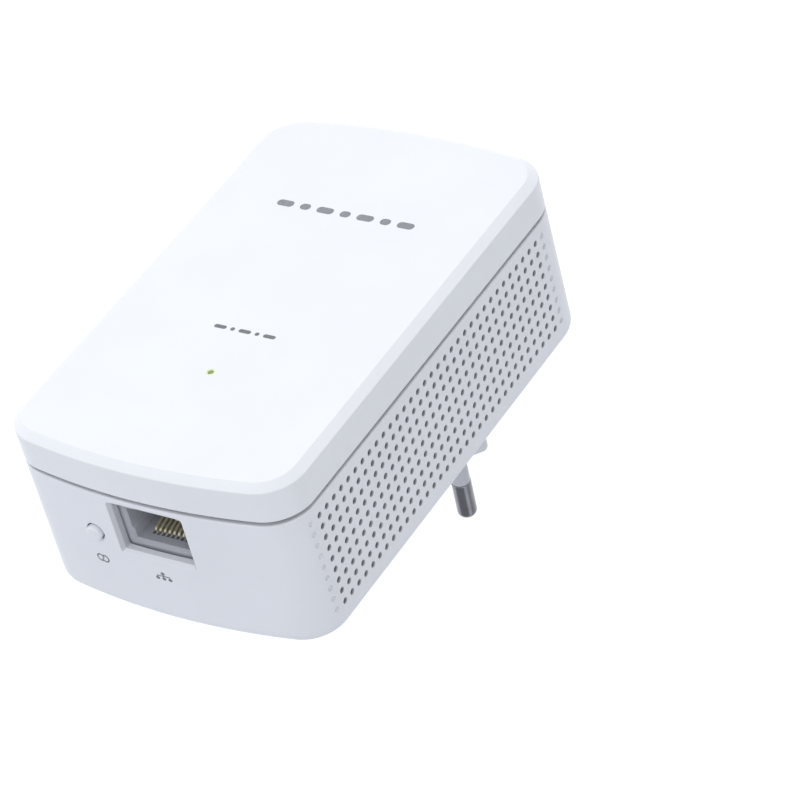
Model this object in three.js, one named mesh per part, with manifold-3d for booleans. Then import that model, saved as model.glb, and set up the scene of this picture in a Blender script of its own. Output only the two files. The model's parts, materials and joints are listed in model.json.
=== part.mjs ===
// Powerline network adapter with a two-pin mains plug, one LAN socket and a pair button.
// Millimetres. +X is across the width, +Z is up when the adapter hangs in a wall outlet (the LAN
// socket is at the low end) and +Y points into the wall. The origin is on the flat plug face,
// midway between the two pins.
import * as THREE from 'three';
import { mergeVertices } from 'three/addons/utils/BufferGeometryUtils.js';
import Module from 'manifold-3d';

const wasm = await Module();
wasm.setup();

// ---------------------------------------------------------------- driving dimensions
const GAP = 0.3; // clearance kept between neighbouring pieces
const FAR = 99; // past the case on every side, for cutting blocks

// case
const BODY_HALF_WIDTH = 30.8;
const BODY_HALF_LENGTH = 50.75;
const BODY_DEPTH = 37.5;
const BODY_CENTRE_Z = -25.2;
const END_BOW = 3.36; // how far each short end bulges at its middle
const CORNER_RADIUS = 8.3;
const BACK_EDGE_RADIUS = 3.0;
const WALL = 2.0;
const BACK_WALL = 2.2;
const CHAMFER_INSET = 1.8;
const CHAMFER_DEPTH = 1.2;
const COVER_BAND = 6.7; // height of the cover's side band below its chamfer
const PARTING_GAP = 0.7;
const TONGUE_INSET = WALL + GAP;
const TONGUE_THICKNESS = 1.0;
const TONGUE_REACH = 3.0; // how deep the cover's tongue enters the housing

// plug
const BOSS_HEIGHT = 18.0;
const BOSS_HALF_LENGTH = 18.0;
const BOSS_FLAT_HALF_LENGTH = 11.6;
const BOSS_HALF_HEIGHT = 6.85;
const BOSS_CORNER_RADIUS = 1.6;
const BOSS_FACE_ROUND = 0.8;
const BOSS_FACE_WALL = 3.0;
const BOSS_SIDE_WALL = 2.0;
const FLANGE_MARGIN = 2.0;
const FLANGE_THICKNESS = 1.8;
const PIN_HALF_SPACING = 9.5;
const PIN_TILT = THREE.MathUtils.degToRad(2.5); // the pins lean towards each other
const PIN_RADIUS = 2.0;
const PIN_CORE_RADIUS = 1.3;
const PIN_LENGTH = 19.0;
const PIN_INNER_LENGTH = 6.5;
const SLEEVE_RADIUS = 1.88;
const SLEEVE_LENGTH = 10.0;
const SLEEVE_INNER_LENGTH = 2.6;
const COLLAR_RADIUS = 2.7;
const COLLAR_HEIGHT = 2.4;

// levels along Y, from the wall side to the room side
const BACK_Y = -BOSS_HEIGHT;
const FRONT_Y = BACK_Y - BODY_DEPTH;
const COVER_RIM_Y = FRONT_Y + CHAMFER_DEPTH + COVER_BAND;
const HOUSING_RIM_Y = COVER_RIM_Y + PARTING_GAP;
const FLOOR_Y = BACK_Y - BACK_WALL; // inside face of the housing's back wall
const BOARD_THICKNESS = 1.6;
const POWER_BOARD_Y = FLOOR_Y - 4.4; // front faces of the two boards
const MAIN_BOARD_Y = FLOOR_Y - 12.6;

// levels along Z
const LOW_END_Z = BODY_CENTRE_Z - BODY_HALF_LENGTH;
const BOARD_EDGE_INSET = WALL + 0.6;
const MAIN_BOARD_TOP_Z = -28.0;
const POWER_BOARD_LOW_Z = -34.0;

// LAN socket
const PORT_Y = -39.45;
const PORT_HALF_WIDTH = 7.6;
const PORT_HALF_HEIGHT = 5.45;
const PORT_CORNER_RADIUS = 0.8;
const PORT_FUNNEL = 0.8;
const JACK_HALF_WIDTH = 8.0;
const JACK_FACE_Z = LOW_END_Z + WALL + 0.4;
const JACK_LENGTH = 18.0;
const JACK_FRONT_Y = -46.0;
const JACK_BEZEL_HALF_WIDTH = PORT_HALF_WIDTH - GAP;
const JACK_BEZEL_HALF_HEIGHT = PORT_HALF_HEIGHT - GAP;
const JACK_BEZEL_STEP = 0.15; // the face round the bezel stands this far back
const JACK_FLOOR_Y = -35.4; // contact side of the cavity
const CAVITY_HALF_WIDTH = 5.95;
const CAVITY_HEIGHT = 6.9;
const CAVITY_DEPTH = 12.0;
const LATCH_HALF_WIDTH = 3.2;
const LATCH_HEIGHT = 1.9;
const CONTACT_COUNT = 8;
const CONTACT_PITCH = 1.02;
const CONTACT_WIDTH = 0.4;
const CONTACT_THICKNESS = 0.3;
const CONTACT_TROUGH = 1.2;
const CONTACT_DROP = 0.55; // how far the contacts' roots lie below the cavity floor
const CONTACT_LIFT = 2.2; // how far their free ends stand above it
const CONTACT_FRONT_Z = LOW_END_Z + 5.1;
const CARRIER_INSET = 0.4;

// pair button
const BUTTON_X = -13.5;
const BUTTON_Y = -36.5;
const BUTTON_RADIUS = 1.6;
const BUTTON_PROUD = 1.0;
const BUTTON_TRAVEL = 0.5;
const BUTTON_FLANGE_RADIUS = 2.7;
const SWITCH_SIZE = 6.0;
const SWITCH_DEPTH = 4.0;
const SWITCH_FACE_Z = -70.4;
const PLUNGER_RADIUS = 1.5;
const CAP_EDGE = 0.35; // bevel round the cap's face
const CAP_FOOT_RADIUS = 1.2;

// status light
const LIGHT_Z = BODY_CENTRE_Z - 23.5;
const LIGHT_HOLE_RADIUS = 0.95;
const LIGHT_TIP_RADIUS = 0.65;
const LIGHT_PIPE_RADIUS = 1.4;

// screws and posts
const SCREW_RADIUS = 1.0;
const SCREW_HEAD_RADIUS = 2.1;
const SCREW_HEAD_HEIGHT = 1.4;
const SCREW_LENGTH = 5.0;
const POST_RADIUS = 2.6;
const POWER_SCREW_X = 24.6;
const POWER_SCREW_Z = -4.0;
const MAIN_SCREW_X = 24.4;
const MAIN_SCREW_Z = -49.0;

// ---------------------------------------------------------------- colours
const COLOURS = {
  cover: [0xf6f8fa, 0.35, 0],
  housing: [0xe6e9ee, 0.45, 0],
  plug: [0xf0f2f4, 0.4, 0],
  sleeve: [0xd9dde2, 0.5, 0],
  pin: [0x9aa0a6, 0.25, 1],
  board: [0x1d6b3a, 0.6, 0],
  jack: [0x6f7680, 0.6, 0],
  gold: [0xc9a24a, 0.3, 1],
  black: [0x22242a, 0.5, 0],
  ferrite: [0x3a3c40, 0.8, 0],
  tape: [0xd9b52e, 0.6, 0],
  can: [0x2c3c66, 0.4, 0],
  film: [0xd6a21c, 0.5, 0],
  glass: [0xcfd8dc, 0.15, 0],
  ceramic: [0x2e6fb0, 0.5, 0],
  steel: [0xa8adb2, 0.35, 1],
  aluminium: [0xb9bec4, 0.4, 1],
  clear: [0xe8f0ec, 0.1, 0],
  led: [0x9be24a, 0.3, 0],
  label: [0xdfe2e6, 0.7, 0],
  red_wire: [0x8c2f25, 0.5, 0],
  blue_wire: [0x2b4c9b, 0.5, 0],
};

// ---------------------------------------------------------------- solid helpers
function toSolid(geometry) {
  geometry.deleteAttribute('normal');
  geometry.deleteAttribute('uv');
  const merged = mergeVertices(geometry, 1e-4);
  return new wasm.Manifold(new wasm.Mesh({
    numProp: 3,
    vertProperties: new Float32Array(merged.attributes.position.array),
    triVerts: new Uint32Array(merged.index.array),
  }));
}

function toGeometry(solid) {
  const mesh = solid.getMesh();
  const geometry = new THREE.BufferGeometry();
  geometry.setAttribute('position', new THREE.BufferAttribute(mesh.vertProperties, 3));
  geometry.setIndex(new THREE.BufferAttribute(mesh.triVerts, 1));
  geometry.computeVertexNormals();
  return geometry;
}

function block(lowX, highX, lowY, highY, lowZ, highZ) {
  const geometry = new THREE.BoxGeometry(highX - lowX, highY - lowY, highZ - lowZ);
  geometry.translate((lowX + highX) / 2, (lowY + highY) / 2, (lowZ + highZ) / 2);
  return toSolid(geometry);
}

// A block standing on the front face of a board.
function partOnBoard(boardY, { x, z, width, length, height }) {
  const base = boardY - GAP;
  return block(x - width / 2, x + width / 2, base - height, base, z - length / 2, z + length / 2);
}

// A round rod between two levels of Y, Z or X.
function rodY(radius, x, z, lowY, highY, sides = 20) {
  const geometry = new THREE.CylinderGeometry(radius, radius, highY - lowY, sides);
  geometry.translate(x, (lowY + highY) / 2, z);
  return toSolid(geometry);
}

function rodZ(radius, x, y, lowZ, highZ, sides = 20) {
  const geometry = new THREE.CylinderGeometry(radius, radius, highZ - lowZ, sides);
  geometry.rotateX(Math.PI / 2);
  geometry.translate(x, y, (lowZ + highZ) / 2);
  return toSolid(geometry);
}

function rodX(radius, y, z, lowX, highX, sides = 16) {
  const geometry = new THREE.CylinderGeometry(radius, radius, highX - lowX, sides);
  geometry.rotateZ(Math.PI / 2);
  geometry.translate((lowX + highX) / 2, y, z);
  return toSolid(geometry);
}

// A shape drawn in x and z, extruded from highY (towards the wall) to lowY (towards the room).
// Both rims can be chamfered or rounded inwards by rim = { inset, depth, steps }.
function slab(shape, lowY, highY, rim = null, segments = 4) {
  const depth = highY - lowY;
  const settings = { depth, bevelEnabled: false, curveSegments: segments };
  if (rim) {
    settings.depth = depth - 2 * rim.depth;
    settings.bevelEnabled = true;
    settings.bevelThickness = rim.depth;
    settings.bevelSize = rim.inset;
    settings.bevelOffset = -rim.inset;
    settings.bevelSegments = rim.steps;
  }
  const geometry = new THREE.ExtrudeGeometry(shape, settings);
  geometry.rotateX(Math.PI / 2);
  geometry.translate(0, rim ? highY - rim.depth : highY, 0);
  return toSolid(geometry);
}

// The case outline, drawn inwards by inset: straight sides, bowed ends and round corners.
function caseOutline(inset) {
  const halfWidth = BODY_HALF_WIDTH - inset;
  const halfLength = BODY_HALF_LENGTH - inset;
  const endRadius = (BODY_HALF_WIDTH ** 2 + END_BOW ** 2) / (2 * END_BOW) - inset;
  const corner = Math.max(CORNER_RADIUS - inset, 0.5);
  const endCentre = halfLength - endRadius;
  const cornerX = halfWidth - corner;
  const cornerZ = endCentre + Math.sqrt((endRadius - corner) ** 2 - cornerX ** 2);
  const meet = Math.atan2(cornerZ - endCentre, cornerX);
  const middle = BODY_CENTRE_Z;
  const shape = new THREE.Shape();
  shape.moveTo(halfWidth, middle - cornerZ);
  shape.lineTo(halfWidth, middle + cornerZ);
  shape.absarc(cornerX, middle + cornerZ, corner, 0, meet);
  shape.absarc(0, middle + endCentre, endRadius, meet, Math.PI - meet);
  shape.absarc(-cornerX, middle + cornerZ, corner, Math.PI - meet, Math.PI);
  shape.lineTo(-halfWidth, middle - cornerZ);
  shape.absarc(-cornerX, middle - cornerZ, corner, Math.PI, Math.PI + meet);
  shape.absarc(0, middle - endCentre, endRadius, Math.PI + meet, 2 * Math.PI - meet);
  shape.absarc(cornerX, middle - cornerZ, corner, 2 * Math.PI - meet, 2 * Math.PI);
  return shape;
}

// A polygon given by its corners, each corner rounded off.
function roundedPolygon(corners, radius) {
  const shape = new THREE.Shape();
  corners.forEach((corner, index) => {
    const before = corners[(index + corners.length - 1) % corners.length];
    const after = corners[(index + 1) % corners.length];
    const back = before.clone().sub(corner).normalize();
    const ahead = after.clone().sub(corner).normalize();
    const half = back.angleTo(ahead) / 2;
    const reach = radius / Math.tan(half);
    const start = corner.clone().addScaledVector(back, reach);
    const end = corner.clone().addScaledVector(ahead, reach);
    if (index === 0) {
      shape.moveTo(start.x, start.y);
    } else {
      shape.lineTo(start.x, start.y);
    }
    shape.quadraticCurveTo(corner.x, corner.y, end.x, end.y);
  });
  return shape;
}

function roundedRectangle(halfWidth, halfHeight, radius, x = 0, y = 0) {
  const corners = [[-1, -1], [1, -1], [1, 1], [-1, 1]].map(
    ([sx, sy]) => new THREE.Vector2(x + sx * halfWidth, y + sy * halfHeight),
  );
  return roundedPolygon(corners, radius);
}

// The plug's six-sided outline, pointed at both ends, grown outwards by margin.
function plugOutline(margin) {
  const slope = Math.hypot(BOSS_HALF_LENGTH - BOSS_FLAT_HALF_LENGTH, BOSS_HALF_HEIGHT);
  const height = BOSS_HALF_HEIGHT + margin;
  const run = BOSS_HALF_LENGTH - BOSS_FLAT_HALF_LENGTH;
  const tip = BOSS_HALF_LENGTH + margin * slope / BOSS_HALF_HEIGHT;
  const flat = tip - height * run / BOSS_HALF_HEIGHT;
  const corners = [[tip, 0], [flat, height], [-flat, height], [-tip, 0], [-flat, -height], [flat, -height]];
  return roundedPolygon(corners.map(([x, z]) => new THREE.Vector2(x, z)), BOSS_CORNER_RADIUS);
}

// Places a solid made along +Y from the origin onto one pin's leaning axis. side is -1 or 1.
function ontoPin(geometry, side) {
  geometry.rotateZ(side * PIN_TILT);
  geometry.translate(side * PIN_HALF_SPACING, 0, 0);
  return geometry;
}

function lathe(profile, sides) {
  return new THREE.LatheGeometry(profile.map(([r, y]) => new THREE.Vector2(r, y)), sides);
}

// The case end at a given x: how far the bowed surface has come back from its middle.
function endSurfaceZ(x) {
  const endRadius = (BODY_HALF_WIDTH ** 2 + END_BOW ** 2) / (2 * END_BOW);
  return LOW_END_Z + endRadius - Math.sqrt(endRadius ** 2 - x ** 2);
}

// ---------------------------------------------------------------- case
function makeFrontCover() {
  const chamfer = { inset: CHAMFER_INSET, depth: CHAMFER_DEPTH, steps: 1 };
  const tongueInset = TONGUE_INSET + TONGUE_THICKNESS;
  const behind = HOUSING_RIM_Y + 2 * TONGUE_REACH;
  const outer = slab(caseOutline(0), FRONT_Y, behind, chamfer);
  const behindRim = block(-FAR, FAR, COVER_RIM_Y, behind + 1, -FAR, FAR);
  const tongue = slab(caseOutline(TONGUE_INSET), FRONT_Y + WALL + 1, HOUSING_RIM_Y + TONGUE_REACH);
  const hollow = slab(caseOutline(tongueInset), FRONT_Y + WALL, behind);
  const lightHole = rodY(LIGHT_HOLE_RADIUS, 0, LIGHT_Z, FRONT_Y - 1, FRONT_Y + WALL + 1, 16);
  const socketSide = JACK_HALF_WIDTH + 2 * GAP;
  const socketNotch = block(
    -socketSide, socketSide, JACK_FRONT_Y - 2 * GAP, behind, LOW_END_Z, LOW_END_Z + 2 * TONGUE_INSET + 1,
  );
  const shell = outer.subtract(behindRim).add(tongue).subtract(hollow);
  return shell.subtract(lightHole).subtract(socketNotch);
}

function screwPlaces() {
  return {
    power_board_screw_left: [-POWER_SCREW_X, POWER_SCREW_Z, POWER_BOARD_Y],
    power_board_screw_right: [POWER_SCREW_X, POWER_SCREW_Z, POWER_BOARD_Y],
    main_board_screw_left: [-MAIN_SCREW_X, MAIN_SCREW_Z, MAIN_BOARD_Y],
    main_board_screw_right: [MAIN_SCREW_X, MAIN_SCREW_Z, MAIN_BOARD_Y],
  };
}

function makeRearHousing() {
  const round = { inset: BACK_EDGE_RADIUS, depth: BACK_EDGE_RADIUS, steps: 4 };
  const outer = slab(caseOutline(0), HOUSING_RIM_Y - 2 * BACK_EDGE_RADIUS, BACK_Y, round);
  const beyondRim = block(-FAR, FAR, -FAR, HOUSING_RIM_Y, -FAR, FAR);
  const hollow = slab(caseOutline(WALL), HOUSING_RIM_Y - 1, FLOOR_Y);
  let housing = outer.subtract(beyondRim).subtract(hollow);
  for (const [x, z, boardY] of Object.values(screwPlaces())) {
    const top = boardY + BOARD_THICKNESS + GAP;
    const post = rodY(POST_RADIUS, x, z, top, FLOOR_Y + 1, 16);
    const hole = rodY(SCREW_RADIUS + GAP, x, z, top - 1, FLOOR_Y - 0.6, 12);
    housing = housing.add(post).subtract(hole);
  }
  housing = housing.subtract(slab(plugOutline(GAP), FLOOR_Y - 1, BACK_Y + 1, null, 2));
  return housing.subtract(makePortCut()).subtract(makeButtonHole()).subtract(makeLabelRecess());
}

// The funnel through the low end wall: a straight window with a flared mouth.
function makePortCut() {
  const straightMouth = 0.5; // the part of the cutter outside the case
  const window = new THREE.ExtrudeGeometry(
    roundedRectangle(PORT_HALF_WIDTH, PORT_HALF_HEIGHT, PORT_CORNER_RADIUS),
    { depth: 3 * WALL, bevelEnabled: false, curveSegments: 3 },
  );
  window.translate(0, PORT_Y, LOW_END_Z - WALL);
  const mouthDepth = 2 * PORT_FUNNEL;
  const mouth = new THREE.ExtrudeGeometry(
    roundedRectangle(
      PORT_HALF_WIDTH + mouthDepth, PORT_HALF_HEIGHT + mouthDepth, PORT_CORNER_RADIUS + mouthDepth,
    ),
    {
      depth: straightMouth,
      bevelEnabled: true,
      bevelThickness: mouthDepth,
      bevelSize: mouthDepth,
      bevelOffset: -mouthDepth,
      bevelSegments: 1,
      curveSegments: 3,
    },
  );
  const surface = (endSurfaceZ(0) + endSurfaceZ(PORT_HALF_WIDTH)) / 2;
  mouth.translate(0, PORT_Y, surface + PORT_FUNNEL - mouthDepth - straightMouth);
  return toSolid(window).add(toSolid(mouth));
}

function makeButtonHole() {
  return rodZ(BUTTON_RADIUS + GAP, BUTTON_X, BUTTON_Y, LOW_END_Z - 1, LOW_END_Z + 2 * WALL, 20);
}

const LABEL_HALF_WIDTH = 19;
const LABEL_HALF_LENGTH = 17;
const LABEL_Z = -46;
const LABEL_THICKNESS = 0.2;
const LABEL_CORNER_RADIUS = 1.2;

function makeLabelRecess() {
  const shape = roundedRectangle(
    LABEL_HALF_WIDTH + GAP, LABEL_HALF_LENGTH + GAP, LABEL_CORNER_RADIUS + GAP, 0, LABEL_Z,
  );
  return slab(shape, BACK_Y - LABEL_THICKNESS - GAP, BACK_Y + 1, null, 2);
}

function makeRatingLabel() {
  const shape = roundedRectangle(LABEL_HALF_WIDTH, LABEL_HALF_LENGTH, LABEL_CORNER_RADIUS, 0, LABEL_Z);
  return slab(shape, BACK_Y - LABEL_THICKNESS, BACK_Y, null, 2);
}

// ---------------------------------------------------------------- plug
function makePlugBlock() {
  const flangeBack = FLOOR_Y - GAP;
  const flangeFront = flangeBack - FLANGE_THICKNESS;
  const roundFace = { inset: BOSS_FACE_ROUND, depth: BOSS_FACE_ROUND, steps: 3 };
  const outer = slab(plugOutline(0), flangeFront - 3, 0, roundFace, 2);
  const beyondFlange = block(-FAR, FAR, -FAR, flangeFront, -FAR, FAR);
  const flange = slab(plugOutline(FLANGE_MARGIN), flangeFront, flangeBack, null, 2);
  const hollow = slab(plugOutline(-BOSS_SIDE_WALL), flangeFront - 1, -BOSS_FACE_WALL, null, 2);
  let plug = outer.subtract(beyondFlange).add(flange).subtract(hollow);
  for (const side of [-1, 1]) {
    plug = plug.add(rodY(COLLAR_RADIUS, side * PIN_HALF_SPACING, 0, -1, COLLAR_HEIGHT, 24));
    const hole = new THREE.CylinderGeometry(SLEEVE_RADIUS + GAP, SLEEVE_RADIUS + GAP, 20, 24);
    plug = plug.subtract(toSolid(ontoPin(hole, side)));
  }
  return plug;
}

function makePlugPin(side) {
  const shoulder = SLEEVE_LENGTH + GAP;
  const profile = [
    [0, -PIN_INNER_LENGTH],
    [PIN_CORE_RADIUS, -PIN_INNER_LENGTH],
    [PIN_CORE_RADIUS, shoulder],
    [PIN_RADIUS, shoulder],
  ];
  const steps = 5;
  for (let step = 0; step <= steps; step += 1) {
    const angle = (Math.PI / 2) * (step / steps);
    const radius = step === steps ? 0 : PIN_RADIUS * Math.cos(angle);
    profile.push([radius, PIN_LENGTH - PIN_RADIUS + PIN_RADIUS * Math.sin(angle)]);
  }
  return toSolid(ontoPin(lathe(profile, 24), side));
}

function makePinSleeve(side) {
  const inner = PIN_CORE_RADIUS + GAP;
  const profile = [
    [inner, -SLEEVE_INNER_LENGTH],
    [SLEEVE_RADIUS, -SLEEVE_INNER_LENGTH],
    [SLEEVE_RADIUS, SLEEVE_LENGTH],
    [inner, SLEEVE_LENGTH],
    [inner, -SLEEVE_INNER_LENGTH],
  ];
  return toSolid(ontoPin(lathe(profile, 24), side));
}

// A lead from a pin's inner end to the back of the power board, bending a little on its way.
const LEAD_RADIUS = 0.9;
const LEAD_END_X = 7;
const LEAD_END_Z = 0.8;
const LEAD_BULGE_Z = 1.5;

function makeMainsLead(side) {
  const startX = side * (PIN_HALF_SPACING + PIN_INNER_LENGTH * Math.tan(PIN_TILT));
  const startY = -PIN_INNER_LENGTH - GAP;
  const endX = side * LEAD_END_X;
  const endY = POWER_BOARD_Y + BOARD_THICKNESS + GAP;
  const straight = 4 * LEAD_RADIUS;
  const route = new THREE.CatmullRomCurve3([
    new THREE.Vector3(startX, startY, 0),
    new THREE.Vector3(startX, startY - straight, LEAD_END_Z / 2),
    new THREE.Vector3((startX + endX) / 2, (startY + endY) / 2, LEAD_BULGE_Z),
    new THREE.Vector3(endX, endY + straight, LEAD_END_Z),
    new THREE.Vector3(endX, endY, LEAD_END_Z),
  ]);
  const section = new THREE.Shape();
  section.absarc(0, 0, LEAD_RADIUS, 0, 2 * Math.PI);
  return toSolid(new THREE.ExtrudeGeometry(section, { steps: 14, extrudePath: route, curveSegments: 4 }));
}

// ---------------------------------------------------------------- boards
function makeBoard(frontY, lowZ, highZ, screwX, screwZ) {
  const sheet = slab(caseOutline(BOARD_EDGE_INSET), frontY, frontY + BOARD_THICKNESS);
  const past = BOARD_THICKNESS + 1;
  const keep = block(-FAR, FAR, frontY - past, frontY + past, lowZ, highZ);
  let board = sheet.intersect(keep);
  for (const side of [-1, 1]) {
    const hole = rodY(SCREW_RADIUS + GAP, side * screwX, screwZ, frontY - past, frontY + past, 12);
    board = board.subtract(hole);
  }
  return board;
}

function makeScrew(x, z, boardY) {
  const underHead = boardY - GAP;
  const head = rodY(SCREW_HEAD_RADIUS, x, z, underHead - SCREW_HEAD_HEIGHT, underHead, 16);
  const tip = boardY + BOARD_THICKNESS + SCREW_LENGTH;
  const shank = rodY(SCREW_RADIUS, x, z, underHead - 0.2, Math.min(tip, FLOOR_Y - 1), 10);
  const slotDepth = 0.6;
  const reach = 1.3;
  const half = 0.25;
  const top = underHead - SCREW_HEAD_HEIGHT;
  const across = block(x - reach, x + reach, top - 1, top + slotDepth, z - half, z + half);
  const along = block(x - half, x + half, top - 1, top + slotDepth, z - reach, z + reach);
  return head.add(shank).subtract(across).subtract(along);
}

// The strip of square pins that joins the two boards.
const HEADER_PIN_COUNT = 8;
const HEADER_PITCH = 2.54;
const HEADER_Z = -31;
const HEADER_HEIGHT = 2.5;
const HEADER_PIN_HALF = 0.32;

function makeBoardHeader() {
  const low = MAIN_BOARD_Y + BOARD_THICKNESS + GAP;
  const high = POWER_BOARD_Y - GAP;
  const halfWidth = (HEADER_PIN_COUNT * HEADER_PITCH) / 2;
  const halfPitch = HEADER_PITCH / 2;
  let header = block(
    -halfWidth, halfWidth, high - HEADER_HEIGHT, high, HEADER_Z - halfPitch, HEADER_Z + halfPitch,
  );
  for (let index = 0; index < HEADER_PIN_COUNT; index += 1) {
    const x = (index - (HEADER_PIN_COUNT - 1) / 2) * HEADER_PITCH;
    const pin = block(
      x - HEADER_PIN_HALF, x + HEADER_PIN_HALF, low, high - 1,
      HEADER_Z - HEADER_PIN_HALF, HEADER_Z + HEADER_PIN_HALF,
    );
    header = header.add(pin);
  }
  return header;
}

// ---------------------------------------------------------------- LAN socket
function makeJackHousing() {
  const base = MAIN_BOARD_Y - GAP;
  const rear = JACK_FACE_Z + JACK_LENGTH;
  const cavityEnd = JACK_FACE_Z + CAVITY_DEPTH;
  const cavityFront = JACK_FLOOR_Y - CAVITY_HEIGHT;
  const shoulder = JACK_FACE_Z + JACK_BEZEL_STEP;
  const body = block(-JACK_HALF_WIDTH, JACK_HALF_WIDTH, JACK_FRONT_Y, base, shoulder, rear).add(block(
    -JACK_BEZEL_HALF_WIDTH, JACK_BEZEL_HALF_WIDTH,
    PORT_Y - JACK_BEZEL_HALF_HEIGHT, PORT_Y + JACK_BEZEL_HALF_HEIGHT, JACK_FACE_Z, shoulder + 1,
  ));
  const cavity = block(
    -CAVITY_HALF_WIDTH, CAVITY_HALF_WIDTH, cavityFront, JACK_FLOOR_Y, JACK_FACE_Z - 1, cavityEnd,
  );
  const latch = block(
    -LATCH_HALF_WIDTH, LATCH_HALF_WIDTH, cavityFront - LATCH_HEIGHT, cavityFront + 1,
    JACK_FACE_Z - 1, cavityEnd,
  );
  const carrierBay = block(
    -CAVITY_HALF_WIDTH + CARRIER_INSET, CAVITY_HALF_WIDTH - CARRIER_INSET,
    cavityFront + CARRIER_INSET, JACK_FLOOR_Y + CONTACT_TROUGH, cavityEnd - 1, rear + 1,
  );
  const troughHalf = (CONTACT_COUNT * CONTACT_PITCH) / 2;
  const trough = block(
    -troughHalf, troughHalf, JACK_FLOOR_Y - 1, JACK_FLOOR_Y + CONTACT_TROUGH,
    CONTACT_FRONT_Z - 2 * GAP, cavityEnd + 1,
  );
  return body.subtract(cavity).subtract(latch).subtract(carrierBay).subtract(trough);
}

function makeContactCarrier() {
  const cavityFront = JACK_FLOOR_Y - CAVITY_HEIGHT;
  const inset = CARRIER_INSET + GAP;
  const halfWidth = CAVITY_HALF_WIDTH - inset;
  const front = JACK_FACE_Z + CAVITY_DEPTH + GAP;
  const rear = JACK_FACE_Z + JACK_LENGTH - GAP;
  return block(
    -halfWidth, halfWidth, cavityFront + inset, JACK_FLOOR_Y + CONTACT_TROUGH - GAP, front, rear,
  );
}

// One spring contact: it runs forward in the trough, turns over and slopes back into the cavity.
function makeContact(index) {
  const x = (index - (CONTACT_COUNT - 1) / 2) * CONTACT_PITCH;
  const rootZ = JACK_FACE_Z + CAVITY_DEPTH;
  const lowY = JACK_FLOOR_Y + CONTACT_DROP;
  const freeY = JACK_FLOOR_Y - CONTACT_LIFT;
  const freeZ = rootZ - 1.6;
  const front = CONTACT_FRONT_Z;
  const bend = 0.4; // each half of the turn at the front
  const inside = front + bend + 0.05;
  const profile = new THREE.Shape();
  profile.moveTo(rootZ, lowY);
  profile.lineTo(front + bend, lowY);
  profile.lineTo(front, lowY - bend);
  profile.lineTo(front, lowY - 2 * bend);
  profile.lineTo(freeZ, freeY);
  profile.lineTo(freeZ, freeY + CONTACT_THICKNESS);
  profile.lineTo(inside, lowY - 2 * bend + CONTACT_THICKNESS);
  profile.lineTo(inside, lowY - CONTACT_THICKNESS);
  profile.lineTo(rootZ, lowY - CONTACT_THICKNESS);
  const geometry = new THREE.ExtrudeGeometry(profile, { depth: CONTACT_WIDTH, bevelEnabled: false });
  geometry.rotateY(-Math.PI / 2);
  geometry.translate(x + CONTACT_WIDTH / 2, 0, 0);
  return toSolid(geometry);
}

// ---------------------------------------------------------------- pair button
const CAP_FACE_Z = endSurfaceZ(BUTTON_X) - BUTTON_PROUD;
const FLANGE_FACE_Z = endSurfaceZ(BUTTON_X) + WALL + 0.5;
const FLANGE_DEPTH = 0.8;

function makeButtonCap() {
  const flangeEnd = FLANGE_FACE_Z + FLANGE_DEPTH;
  const plungerTip = flangeEnd + GAP;
  const profile = [
    [0, 0],
    [BUTTON_RADIUS - CAP_EDGE, 0],
    [BUTTON_RADIUS, CAP_EDGE],
    [BUTTON_RADIUS, FLANGE_FACE_Z - CAP_FACE_Z],
    [BUTTON_FLANGE_RADIUS, FLANGE_FACE_Z - CAP_FACE_Z],
    [BUTTON_FLANGE_RADIUS, flangeEnd - CAP_FACE_Z],
    [CAP_FOOT_RADIUS, flangeEnd - CAP_FACE_Z],
    [CAP_FOOT_RADIUS, plungerTip - CAP_FACE_Z],
    [0, plungerTip - CAP_FACE_Z],
  ];
  const geometry = lathe(profile, 24);
  geometry.rotateX(Math.PI / 2);
  geometry.translate(BUTTON_X, BUTTON_Y, CAP_FACE_Z);
  return toSolid(geometry);
}

const PLUNGER_TIP_Z = FLANGE_FACE_Z + FLANGE_DEPTH + 2 * GAP;
const PLUNGER_DEPTH_IN_SWITCH = 1.2;

function makeSwitchPlunger() {
  const end = SWITCH_FACE_Z + PLUNGER_DEPTH_IN_SWITCH;
  return rodZ(PLUNGER_RADIUS, BUTTON_X, BUTTON_Y, PLUNGER_TIP_Z, end, 16);
}

function makeSwitchBody() {
  const half = SWITCH_SIZE / 2;
  const base = MAIN_BOARD_Y - GAP;
  const body = block(
    BUTTON_X - half, BUTTON_X + half, BUTTON_Y - half, base, SWITCH_FACE_Z, SWITCH_FACE_Z + SWITCH_DEPTH,
  );
  const holeEnd = SWITCH_FACE_Z + PLUNGER_DEPTH_IN_SWITCH + BUTTON_TRAVEL + GAP;
  return body.subtract(rodZ(PLUNGER_RADIUS + GAP, BUTTON_X, BUTTON_Y, SWITCH_FACE_Z - 1, holeEnd, 16));
}

// ---------------------------------------------------------------- status light
const LED_HEIGHT = 1.2;

function makeLightPipe() {
  const step = FRONT_Y + WALL + GAP;
  const base = MAIN_BOARD_Y - LED_HEIGHT - 2 * GAP;
  const tip = rodY(LIGHT_TIP_RADIUS, 0, LIGHT_Z, FRONT_Y, step + 1, 16);
  return tip.add(rodY(LIGHT_PIPE_RADIUS, 0, LIGHT_Z, step, base, 16));
}

function makeStatusLed() {
  return partOnBoard(MAIN_BOARD_Y, { x: 0, z: LIGHT_Z, width: 3.2, length: 1.6, height: LED_HEIGHT });
}

// ---------------------------------------------------------------- electronics
// The transformer: a core with two windows, and a winding round its middle leg.
const CORE = { x: -13, z: -14, width: 18, length: 10, height: 15, legs: 2.8, middleLeg: 4.4 };
const CORE_YOKE = 3;
const CORE_LIFT = 2; // the winding's pins hold the core above the board
const WINDING_OVERHANG = 3.5;

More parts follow.
